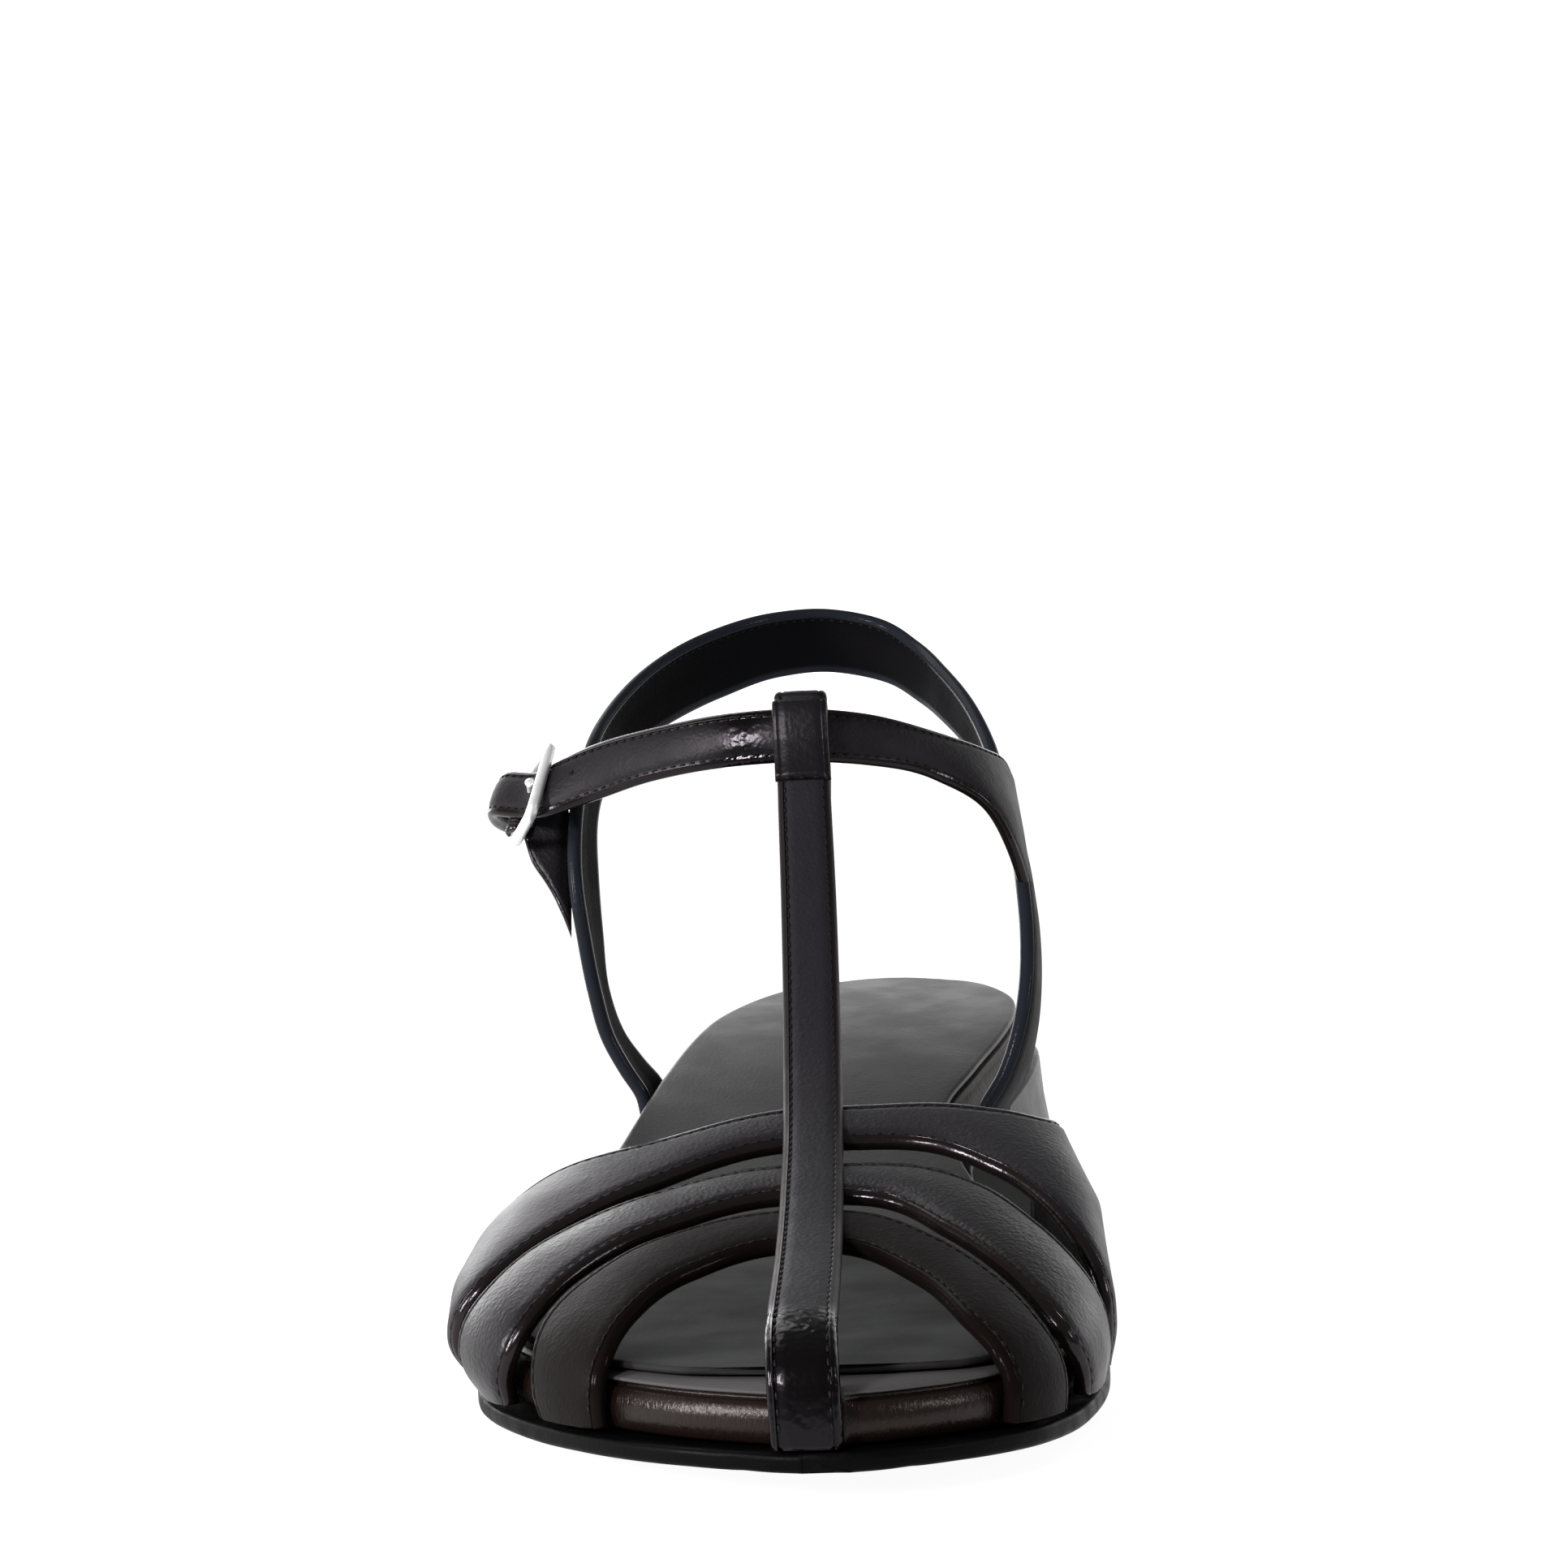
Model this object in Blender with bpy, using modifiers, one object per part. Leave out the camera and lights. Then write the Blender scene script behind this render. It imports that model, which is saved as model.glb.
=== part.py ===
"""Caged sandal for a right foot: T-bar cage of straps, buckled ankle strap and low block heel."""

import bmesh
import bpy
import numpy as np
from mathutils import Vector

# Sizes in millimetres. Lengths run from the toe, x is negative on the outer side of the foot.
HEEL_CENTRE = 206.0
GAP = 0.3
SOLE_THICK = 2.5
FOOTBED_THICK = 7.8
TOE_THIN = 0.7
TOE_TAPER = 45.0
INSOLE_THICK = 0.9
RIM = 3.0
HEEL_FLARE = 3.2
HEEL_BREAST = 168.0
BREAST_SLOPE = 4.0
EDGE_ROUND = 1.8
INSOLE_INSET = 3.4
INSOLE_BOW = 2.5
INSOLE_TOE = 11.0
STRAP_THICK = 2.0
BAR_THICK = 2.0
SINK = 0.25
WALL_SHARE = 0.027
STRAP_CLEAR = 0.9
FOOT_CLEAR = 0.85
SLING_THICK = 2.1
TAB_THICK = 1.0
BUCKLE_HEIGHT = 15.2
BUCKLE_LENGTH = 12.5
BUCKLE_CORNER = 2.0
WIRE = 0.8
PRONG_WIRE = 0.7
HOLE = 1.1

# Half outline of the footbed on each side and the height of the sole's underside.
SOLE_COLUMNS = ("from_toe", "outer", "inner", "under")
SOLE_ROWS = (
    (0.8, -1.6, 3.0, 4.8),
    (2.0, -6.4, 7.8, 4.6),
    (5.0, -12.6, 13.4, 4.3),
    (10.0, -20.0, 19.6, 3.7),
    (18.0, -28.4, 25.6, 2.8),
    (30.0, -37.6, 30.2, 1.5),
    (45.0, -46.2, 33.4, 0.4),
    (58.0, -50.2, 34.8, 0.0),
    (74.0, -51.4, 34.6, 0.0),
    (90.0, -50.2, 31.2, 0.6),
    (108.0, -47.8, 24.2, 4.0),
    (128.0, -44.4, 18.0, 9.5),
    (148.0, -41.0, 15.4, 15.2),
    (166.0, -38.2, 20.6, 19.8),
    (184.0, -35.2, 25.8, 23.4),
    (199.0, -32.2, 28.2, 25.6),
    (211.0, -28.2, 28.0, 26.9),
    (222.0, -23.2, 24.8, 27.8),
    (231.0, -17.4, 19.8, 28.4),
    (237.0, -11.6, 14.4, 28.8),
    (240.2, -5.6, 9.4, 29.0),
    (241.2, -1.4, 5.4, 29.1),
)

# Inner face of the T-bar along its middle, from the toe up to the top of its loop.
BAR_COLUMNS = ("from_toe", "x", "height", "width")
BAR_ROWS = (
    (0.1, -1.5, 8.0, 9.2),
    (-0.2, -1.6, 12.0, 9.2),
    (0.7, -1.8, 16.6, 9.2),
    (4.6, -2.1, 19.3, 9.2),
    (12.0, -2.3, 20.9, 9.1),
    (22.0, -2.5, 22.2, 9.1),
    (40.0, -3.0, 24.5, 9.1),
    (60.0, -3.7, 28.3, 9.1),
    (80.0, -4.5, 33.6, 9.1),
    (97.8, -5.3, 42.1, 9.2),
    (113.3, -6.0, 53.7, 9.2),
    (125.5, -6.6, 66.2, 9.2),
    (136.6, -7.3, 79.3, 9.1),
    (141.4, -7.6, 86.6, 9.0),
    (143.3, -7.8, 91.2, 9.0),
    (145.1, -7.9, 97.2, 9.0),
    (147.2, -7.9, 98.7, 9.0),
)

# Rear half of the loop, folded over the ankle strap and sewn back to the bar.
LOOP_ROWS = (
    (145.4, -7.9, 98.6, 9.0),
    (147.6, -7.9, 98.8, 9.0),
    (149.0, -7.9, 96.6, 9.0),
    (148.2, -7.8, 91.0, 9.0),
    (144.6, -7.6, 86.0, 9.0),
    (140.4, -7.5, 82.9, 9.0),
)

# Front and rear edge of each cage strap, from its outer foot over the ridge to its inner foot.
CAGE_COLUMNS = ("share", "front", "rear")
CAGE_ROWS = {
    "front_strap": (
        (0.0, 17.0, 29.5),
        (0.1, 17.4, 30.9),
        (0.2, 19.9, 35.1),
        (0.3, 25.9, 41.2),
        (0.4, 35.6, 50.0),
        (0.5, 43.2, 55.2),
        (0.6, 31.8, 45.2),
        (0.7, 19.6, 35.0),
        (0.8, 14.4, 27.6),
        (0.9, 12.6, 24.7),
        (1.0, 12.0, 24.4),
    ),
    "middle_strap": (
        (0.0, 39.0, 52.0),
        (0.1, 36.3, 50.8),
        (0.2, 38.0, 51.9),
        (0.3, 44.5, 58.3),
        (0.4, 53.6, 65.7),
        (0.5, 60.7, 71.8),
        (0.6, 49.0, 64.7),
        (0.7, 38.7, 55.9),
        (0.8, 31.2, 49.7),
        (0.9, 29.8, 47.7),
        (1.0, 34.5, 49.0),
    ),
    "rear_strap": (
        (0.0, 55.0, 77.0),
        (0.1, 53.2, 77.5),
        (0.2, 53.5, 79.0),
        (0.3, 60.0, 82.9),
        (0.4, 69.5, 83.4),
        (0.5, 79.0, 89.0),
        (0.6, 71.3, 88.3),
        (0.7, 62.9, 88.5),
        (0.8, 55.8, 90.0),
        (0.9, 52.5, 92.0),
        (1.0, 53.0, 93.0),
    ),
}

# Roundness of the cage's arch on both sides, how far its walls swell past the sole, and their height.
FORM_COLUMNS = ("from_toe", "outer_power", "inner_power", "outer_swell", "inner_swell", "wall")
FORM_ROWS = (
    (5.0, 2.3, 2.3, 0.0, 0.0, 2.9),
    (25.0, 2.3, 2.3, 0.4, 0.3, 3.3),
    (40.0, 2.3, 2.5, 1.5, 0.9, 4.6),
    (55.0, 2.3, 3.0, 3.8, 1.1, 6.4),
    (75.0, 2.6, 4.6, 3.2, 0.9, 7.5),
    (95.0, 2.6, 6.0, 2.6, 1.0, 7.5),
)

# Inner face of the heel sling between its two edges, from the outer foot round the back to the inner foot.
EDGE_COLUMNS = ("top_x", "top_from_toe", "top_height", "low_x", "low_from_toe", "low_height")
SLING_ROWS = (
    (-39.4, 164.0, 23.4, -37.2, 177.0, 26.2),
    (-40.3, 164.0, 28.6, -38.3, 177.5, 29.8),
    (-43.2, 164.0, 33.8, -41.6, 178.0, 33.8),
    (-46.0, 164.0, 39.7, -45.0, 178.0, 38.8),
    (-47.9, 164.0, 47.8, -47.5, 178.0, 46.8),
    (-49.5, 164.0, 57.6, -48.2, 178.5, 57.0),
    (-50.9, 165.5, 68.7, -48.7, 180.0, 67.4),
    (-50.8, 171.0, 81.0, -49.0, 184.0, 77.0),
    (-49.0, 181.0, 92.0, -47.8, 191.5, 84.0),
    (-46.4, 196.0, 99.6, -44.2, 203.5, 90.3),
    (-40.8, 209.5, 106.5, -37.5, 215.5, 95.0),
    (-30.3, 224.4, 112.8, -28.3, 229.3, 99.5),
    (-17.6, 234.2, 116.2, -17.2, 238.2, 103.0),
    (-7.6, 238.2, 116.5, -7.6, 241.9, 103.5),
    (2.6, 237.0, 114.1, 3.2, 239.6, 101.0),
    (9.6, 230.4, 109.3, 10.2, 231.8, 96.6),
    (14.6, 220.4, 104.2, 15.2, 221.4, 92.3),
    (19.4, 209.0, 98.0, 20.2, 210.0, 86.5),
    (23.2, 196.5, 89.8, 24.6, 199.5, 77.5),
    (25.4, 184.0, 80.0, 27.6, 190.0, 68.0),
    (27.4, 172.0, 72.5, 29.3, 181.0, 60.0),
    (28.3, 163.5, 65.0, 30.0, 174.0, 52.5),
    (28.7, 158.0, 56.5, 29.8, 169.0, 45.0),
    (28.2, 154.0, 48.5, 28.9, 165.5, 38.0),
    (26.6, 151.0, 40.5, 27.2, 164.0, 31.5),
    (23.8, 149.3, 33.0, 25.8, 163.0, 29.4),
    (19.2, 148.0, 25.4, 24.0, 162.3, 26.4),
    (17.8, 147.6, 19.6, 23.4, 162.0, 23.6),
)

# Outer face of the ankle strap, from the inner leg through the T-bar loop and the buckle to its tip.
ANKLE_ROWS = (
    (28.8, 190.0, 79.5, 31.8, 171.5, 55.5),
    (28.0, 184.5, 84.4, 30.8, 164.5, 62.5),
    (26.6, 178.5, 87.2, 28.6, 160.5, 70.5),
    (23.8, 172.0, 88.9, 25.4, 158.5, 77.4),
    (15.9, 160.5, 92.4, 15.7, 154.6, 84.2),
    (3.6, 149.8, 96.3, 3.3, 147.2, 87.4),
    (-8.0, 145.0, 97.7, -8.4, 143.0, 88.4),
    (-20.1, 146.5, 96.7, -20.4, 144.5, 87.6),
    (-35.2, 153.5, 94.0, -35.5, 151.0, 85.2),
    (-48.3, 162.4, 91.4, -48.6, 158.8, 82.3),
    (-54.0, 166.5, 90.0, -56.2, 161.6, 80.4),
    (-58.2, 171.4, 88.2, -61.3, 166.4, 80.2),
    (-65.0, 177.3, 88.2, -68.0, 173.0, 80.4),
    (-66.9, 185.5, 86.0, -69.0, 181.5, 77.6),
    (-64.6, 194.5, 83.2, -66.2, 191.5, 75.2),
    (-59.8, 203.5, 80.0, -60.8, 202.0, 74.6),
)

# Buckle: middle of its front bar, direction of the bar and direction towards its rear bar.
BUCKLE_FRONT = Vector((-56.5, 164.2, 86.5))
BUCKLE_DOWN = Vector((-0.192, -0.568, -0.800)).normalized()
BUCKLE_BACK = Vector((-0.400, 0.790, -0.465)).normalized()
BUCKLE_OUT = BUCKLE_BACK.cross(BUCKLE_DOWN).normalized()

# Root of the buckle tab on the outer leg, as edges of its middle surface.
TAB_ROWS = (
    (-53.1, 176.0, 75.5, -52.5, 166.5, 57.5),
    (-53.9, 176.5, 77.5, -54.4, 167.4, 62.0),
    (-55.7, 177.0, 81.0, -57.4, 169.0, 67.6),
    (-57.4, 177.3, 83.0, -59.9, 170.2, 71.4),
)
TAB_WIDTH = 11.2
SLOT_START = 0.45

for old in list(bpy.data.objects):
    bpy.data.objects.remove(old)

sandal = bpy.data.collections.new("caged_sandal")
helpers = bpy.data.collections.new("cutters_and_strips")
bpy.context.scene.collection.children.link(sandal)
bpy.context.scene.collection.children.link(helpers)


def material(name, colour, metallic, roughness):
    made = bpy.data.materials.new(name)
    made.use_nodes = True
    shader = made.node_tree.nodes["Principled BSDF"]
    shader.inputs["Base Color"].default_value = (*colour, 1.0)
    shader.inputs["Metallic"].default_value = metallic
    shader.inputs["Roughness"].default_value = roughness
    return made


STRAP_LEATHER = material("strap_leather", (0.022, 0.019, 0.02), 0.0, 0.42)
TAB_LEATHER = material("tab_leather", (0.022, 0.019, 0.02), 0.0, 0.42)
WRAP_LEATHER = material("wrap_leather", (0.02, 0.016, 0.016), 0.0, 0.35)
SOCK_LEATHER = material("sock_leather", (0.04, 0.04, 0.042), 0.0, 0.6)
SOLE_RUBBER = material("sole_rubber", (0.03, 0.03, 0.032), 0.0, 0.55)
FRAME_STEEL = material("frame_steel", (0.8, 0.8, 0.82), 1.0, 0.15)
PRONG_STEEL = material("prong_steel", (0.8, 0.8, 0.82), 1.0, 0.15)


def place(x, from_toe, height):
    """Point of the sandal in metres, with the origin under the middle of the heel."""
    return Vector((x, from_toe - HEEL_CENTRE, height)) / 1000


def curve(at, values):
    """Smooth function through a column of a table."""
    at = np.asarray(at, float)
    values = np.asarray(values, float)
    slopes = np.gradient(values, at)

    def value(where):
        i = int(np.clip(np.searchsorted(at, where) - 1, 0, len(at) - 2))
        step = at[i + 1] - at[i]
        t = (where - at[i]) / step
        start = values[i] * (1 + 2 * t) + slopes[i] * step * t
        end = values[i + 1] * (3 - 2 * t) - slopes[i + 1] * step * (1 - t)
        return float(start * (1 - t) ** 2 + end * t**2)

    return value


def columns(names, rows):
    return {name: [row[i] for row in rows] for i, name in enumerate(names)}


def by_row(names, rows):
    """Each column as a smooth function of the row's number."""
    return {
        name: curve(range(len(rows)), values) for name, values in columns(names, rows).items()
    }


def by_length(names, rows):
    """Each column as a smooth function of the share of the length along the rows."""
    points = np.array([row[:3] for row in rows], float)
    steps = np.linalg.norm(np.diff(points, axis=0), axis=1)
    shares = np.concatenate([[0.0], np.cumsum(steps)]) / steps.sum()
    return {name: curve(shares, values) for name, values in columns(names, rows).items()}


def new_object(name, mesh, collection, look=None):
    data = bpy.data.meshes.new(name)
    mesh.to_mesh(data)
    mesh.free()
    made = bpy.data.objects.new(name, data)
    collection.objects.link(made)
    if look:
        data.materials.append(look)
    if collection is helpers:
        made.hide_render = True
        made.display_type = "WIRE"
    return made


def loft(name, rings, look):
    """Closed solid through rings of equal length, capped at both ends."""
    mesh = bmesh.new()
    loops = [[mesh.verts.new(point) for point in ring] for ring in rings]
    for first, second in zip(loops, loops[1:]):
        for i in range(len(first)):
            j = (i + 1) % len(first)
            mesh.faces.new((first[i], first[j], second[j], second[i]))
    mesh.faces.new(loops[0])
    mesh.faces.new(loops[-1])
    bmesh.ops.recalc_face_normals(mesh, faces=mesh.faces)
    if mesh.calc_volume(signed=True) < 0:
        bmesh.ops.reverse_faces(mesh, faces=mesh.faces)
    return new_object(name, mesh, sandal, look)


def strip(name, along, across, point, thickness, offset, collection, look=None, slot=1.0):
    """Strip of leather on a surface, thickened to one side of it, its middle third open after slot."""
    mesh = bmesh.new()
    bmesh.ops.create_grid(mesh, x_segments=along, y_segments=across, size=0.5)
    middles = [(face, face.calc_center_median()) for face in mesh.faces]
    opened = [face for face, spot in middles if spot.x + 0.5 > slot and abs(spot.y) < 1 / 6]
    bmesh.ops.delete(mesh, geom=opened, context="FACES")
    for vert in mesh.verts:
        vert.co = point(vert.co.x + 0.5, vert.co.y + 0.5)
    made = new_object(name, mesh, collection, look)
    thick = made.modifiers.new("thickness", "SOLIDIFY")
    thick.thickness = thickness / 1000
    thick.offset = offset
    thick.use_even_offset = True
    return made


def boolean(target, other, operation):
    change = target.modifiers.new(other.name, "BOOLEAN")
    change.operation = operation
    change.object = other
    change.solver = "EXACT"


# Outline of the footbed, as points of both sides with their outward directions.
sole = by_row(SOLE_COLUMNS, SOLE_ROWS)
LAST_ROW = len(SOLE_ROWS) - 1
FINE = np.linspace(0.0, LAST_ROW, 400)
FINE_FROM_TOE = [sole["from_toe"](row) for row in FINE]


def row_at(from_toe):
    return float(np.interp(from_toe, FINE_FROM_TOE, FINE))


def under_at(from_toe):
    return max(0.0, sole["under"](row_at(from_toe)))


def side_point(side, row, outward):
    """Plan point on one side of the outline, moved outward square to it."""
    sign = 1 if side == "inner" else -1
    step = 0.02
    before = np.clip(row - step, 0, LAST_ROW)
    after = np.clip(row + step, 0, LAST_ROW)
    dx = sole[side](after) - sole[side](before)
    dy = sole["from_toe"](after) - sole["from_toe"](before)
    long = np.hypot(dx, dy)
    x = sole[side](row) + outward * sign * dy / long
    y = sole["from_toe"](row) - outward * sign * dx / long
    return x, y


def cross_point(row, share, outward):
    """Plan point between the two sides, share 0 on the outer side and 1 on the inner side."""
    ax, ay = side_point("outer", row, outward)
    bx, by = side_point("inner", row, outward)
    return ax + (bx - ax) * share, ay + (by - ay) * share


TOP_SHARES = (0.0, 0.12, 0.3, 0.5, 0.7, 0.88, 1.0)
STATIONS = np.linspace(0.0, LAST_ROW, 43)

# Sole unit: thin forepart with a rim, arched waist and block heel moulded in one.

def heel_share(from_toe):
    return float(np.clip((from_toe - HEEL_BREAST) / BREAST_SLOPE, 0.0, 1.0))


def sole_ring(row):
    ring = []
    rim_top = RIM - 0.6
    for share in TOP_SHARES:
        x, y = cross_point(row, share, rim_top)
        ring.append(place(x, y, under_at(y) + SOLE_THICK))
    x, y = side_point("inner", row, RIM)
    down = 1.0 - heel_share(y)
    ring.append(place(x, y, under_at(y) + SOLE_THICK - 0.7))
    flare = HEEL_FLARE * (1 - down)
    x, y = side_point("inner", row, RIM + flare * 0.9)
    ring.append(place(x, y, under_at(y) * down + 0.8))
    for share in reversed(TOP_SHARES):
        x, y = cross_point(row, share, RIM + flare - 0.7)
        ring.append(place(x, y, under_at(y) * down))
    x, y = side_point("outer", row, RIM + flare * 0.9)
    ring.append(place(x, y, under_at(y) * down + 0.8))
    x, y = side_point("outer", row, RIM)
    ring.append(place(x, y, under_at(y) + SOLE_THICK - 0.7))
    return ring


sole_stations = sorted(
    [row for row in STATIONS if not HEEL_BREAST - 2 < sole["from_toe"](row) < HEEL_BREAST + 6]
    + [row_at(HEEL_BREAST), row_at(HEEL_BREAST + BREAST_SLOPE)]
)
loft("sole_unit", [sole_ring(row) for row in sole_stations], SOLE_RUBBER)

# Footbed: leather-wrapped board with a rounded upper edge.
FOOTBED_BASE = SOLE_THICK + GAP
EDGE_MIDDLE = EDGE_ROUND * 0.29
WALL_FOOT = FOOTBED_THICK - TOE_THIN - 0.6


def footbed_top(from_toe):
    """Height of the footbed's upper face, a little thinner at the toe."""
    thin = TOE_THIN * (1 - np.clip(from_toe / TOE_TAPER, 0, 1)) ** 2
    return under_at(from_toe) + FOOTBED_BASE + FOOTBED_THICK - thin


def footbed_ring(row):
    ring = []
    for share in TOP_SHARES:
        x, y = cross_point(row, share, -min(EDGE_ROUND, 0.4 + 3.0 * min(row, LAST_ROW - row)))
        ring.append(place(x, y, footbed_top(y)))
    for outward, down in ((-EDGE_MIDDLE, EDGE_MIDDLE), (0.0, EDGE_ROUND), (0.0, WALL_FOOT)):
        x, y = side_point("inner", row, outward)
        ring.append(place(x, y, footbed_top(y) - down))
    for share in reversed(TOP_SHARES):
        x, y = cross_point(row, share, -0.6)
        ring.append(place(x, y, under_at(y) + FOOTBED_BASE))
    for outward, down in ((0.0, WALL_FOOT), (0.0, EDGE_ROUND), (-EDGE_MIDDLE, EDGE_MIDDLE)):
        x, y = side_point("outer", row, outward)
        ring.append(place(x, y, footbed_top(y) - down))
    return ring


loft("footbed", [footbed_ring(row) for row in STATIONS], WRAP_LEATHER)

# Insole: thin sock glued on the footbed, short of its edge.
INSOLE_LIFT = GAP + 0.1
INSOLE_SHARES = (0.0, 0.25, 0.5, 0.75, 1.0)
insole_stations = np.linspace(row_at(INSOLE_TOE), row_at(238.0), 38)


def insole_ring(row):
    ring = []
    fade = max(0.0, 1.0 - (row - insole_stations[0]) / 2.0) ** 2
    for base, shares in ((INSOLE_THICK, INSOLE_SHARES), (0.0, INSOLE_SHARES[::-1])):
        for share in shares:
            start = sole["outer"](row) + INSOLE_INSET
            end = sole["inner"](row) - INSOLE_INSET
            y = sole["from_toe"](row) + INSOLE_BOW * fade * (2 * share - 1) ** 2
            ring.append(place(start + (end - start) * share, y, footbed_top(y) + INSOLE_LIFT + base))
    return ring


loft("insole", [insole_ring(row) for row in insole_stations], SOCK_LEATHER)

# Cage: the ridge of the forefoot runs under the T-bar, and each strap arches over it.
bar = by_length(BAR_COLUMNS, BAR_ROWS)
bar_flat = columns(BAR_COLUMNS, BAR_ROWS[3:13])
ridge_height = curve(bar_flat["from_toe"], bar_flat["height"])
ridge_x = curve(bar_flat["from_toe"], bar_flat["x"])


form_columns = columns(FORM_COLUMNS, FORM_ROWS)
form = {name: curve(form_columns["from_toe"], form_columns[name]) for name in FORM_COLUMNS[1:]}


def arch_point(from_toe, share):
    """Inner face of the cage at one length from the toe, share 0 and 1 at the sole's edges."""
    half = abs(2 * share - 1)
    side = "outer" if share < 0.5 else "inner"
    sign = -1 if share < 0.5 else 1
    slope = (ridge_height(from_toe + 1) - ridge_height(from_toe - 1)) / 2
    drop = (STRAP_THICK - SINK) * np.hypot(1, slope)
    top = ridge_height(from_toe) - drop
    foot = under_at(from_toe) + FOOTBED_BASE + FOOT_CLEAR
    row = row_at(from_toe)
    edge = sole[side](row) + sign * STRAP_CLEAR
    wall = form["wall"](from_toe)
    wall_share = wall * WALL_SHARE
    up = np.clip((1 - half) / wall_share, 0, 1)
    turn = np.clip((1 - half - wall_share) / (1 - wall_share), 0, 1) * np.pi / 2
    power = form[side + "_power"](from_toe)
    swell = form[side + "_swell"](from_toe) * np.sin(up * np.pi / 2) ** 1.4
    wide = edge + sign * swell - ridge_x(from_toe)
    x = ridge_x(from_toe) + wide * max(np.cos(turn), 0.0) ** (2 / power)
    height = foot + wall * up + (top - foot - wall) * np.sin(turn) ** (2 / power)
    return place(x, from_toe, height)


def cage_strap(name):
    rows = columns(CAGE_COLUMNS, CAGE_ROWS[name])
    front = curve(rows["share"], rows["front"])
    rear = curve(rows["share"], rows["rear"])

    def point(u, v):
        return arch_point(front(u) + (rear(u) - front(u)) * v, u)

    return strip(name, 44, 3, point, STRAP_THICK, 1.0, helpers)


def edged(rows):
    """Point of a strap between its two edges."""
    at = by_length(EDGE_COLUMNS, rows)

    def point(u, v):
        top = place(at["top_x"](u), at["top_from_toe"](u), at["top_height"](u))
        low = place(at["low_x"](u), at["low_from_toe"](u), at["low_height"](u))
        return top.lerp(low, v)

    return point


def barred(rows):
    """Point of a straight-cut strap across its middle line."""
    at = by_length(BAR_COLUMNS, rows)

    def point(u, v):
        return place(at["x"](u) + at["width"](u) * (0.5 - v), at["from_toe"](u), at["height"](u))

    return point


# Upper: T-bar, loop, cage straps, heel sling and ankle strap joined where they cross.
upper = strip("upper", 56, 2, barred(BAR_ROWS), BAR_THICK, 1.0, sandal, STRAP_LEATHER)
loop = strip("bar_loop", 14, 2, barred(LOOP_ROWS), 1.6, 1.0, helpers)
sling = strip("heel_sling", 66, 3, edged(SLING_ROWS), SLING_THICK, 1.0, helpers)
ankle = strip("ankle_strap", 56, 3, edged(ANKLE_ROWS), STRAP_THICK, -1.0, helpers)
for piece in [loop, *(cage_strap(name) for name in CAGE_ROWS), ankle, sling]:
    boolean(upper, piece, "UNION")


def framed(back, down, out):
    """Point of the buckle from the middle of its front bar."""
    spot = BUCKLE_FRONT + BUCKLE_BACK * back + BUCKLE_DOWN * down + BUCKLE_OUT * out
    return place(*spot)


def rod(name, points, radius, closed, look):
    data = bpy.data.curves.new(name, "CURVE")
    data.dimensions = "3D"
    data.bevel_depth = radius / 1000
    data.bevel_resolution = 1
    data.use_fill_caps = True
    line = data.splines.new("POLY")
    line.points.add(len(points) - 1)
    for spot, point in zip(line.points, points):
        spot.co = (*point, 1.0)
    line.use_cyclic_u = closed
    made = bpy.data.objects.new(name, data)
    sandal.objects.link(made)
    data.materials.append(look)
    return made


# Buckle frame: bent wire with rounded corners.
corners = (
    (BUCKLE_CORNER, BUCKLE_CORNER - BUCKLE_HEIGHT / 2, 180),
    (BUCKLE_LENGTH - BUCKLE_CORNER, BUCKLE_CORNER - BUCKLE_HEIGHT / 2, 270),
    (BUCKLE_LENGTH - BUCKLE_CORNER, BUCKLE_HEIGHT / 2 - BUCKLE_CORNER, 0),
    (BUCKLE_CORNER, BUCKLE_HEIGHT / 2 - BUCKLE_CORNER, 90),
)
frame_points = []
for back, down, start in corners:
    for turn in np.radians((start, start + 30, start + 60, start + 90)):
        spot = (back + BUCKLE_CORNER * np.cos(turn), down + BUCKLE_CORNER * np.sin(turn))
        frame_points.append(framed(*spot, 0.0))
rod("buckle_frame", frame_points, WIRE, True, FRAME_STEEL)

# Prong: hooked round the rear bar, through the strap, its tip against the front bar.
hook = WIRE + GAP + PRONG_WIRE + 0.05
PRONG_ROOT = (BUCKLE_LENGTH, -hook)
PRONG_TIP = (2.0, 1.6)
prong_points = []
for turn in np.radians((130, 100, 70, 30, 0)):
    prong_points.append(framed(BUCKLE_LENGTH + hook * np.sin(turn), 0.0, -hook * np.cos(turn)))
prong_points.append(framed(PRONG_TIP[0], 0.0, PRONG_TIP[1]))
rod("buckle_prong", prong_points, PRONG_WIRE, False, PRONG_STEEL)


def punch(name, start, end, radius):
    """Round cutter between two points of the buckle's plane."""
    mesh = bmesh.new()
    first = framed(start[0], 0.0, start[1])
    second = framed(end[0], 0.0, end[1])
    bmesh.ops.create_cone(
        mesh,
        cap_ends=True,
        segments=10,
        radius1=radius / 1000,
        radius2=radius / 1000,
        depth=(second - first).length,
    )
    turn = (second - first).to_track_quat("Z", "Y")
    for vert in mesh.verts:
        vert.co = turn @ vert.co + (first + second) / 2
    return new_object(name, mesh, helpers)


def along_prong(share):
    return tuple(a + (b - a) * share for a, b in zip(PRONG_ROOT, PRONG_TIP))


hole = punch("prong_hole", along_prong(0.2), along_prong(1.0), HOLE)
boolean(upper, hole, "DIFFERENCE")

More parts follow.
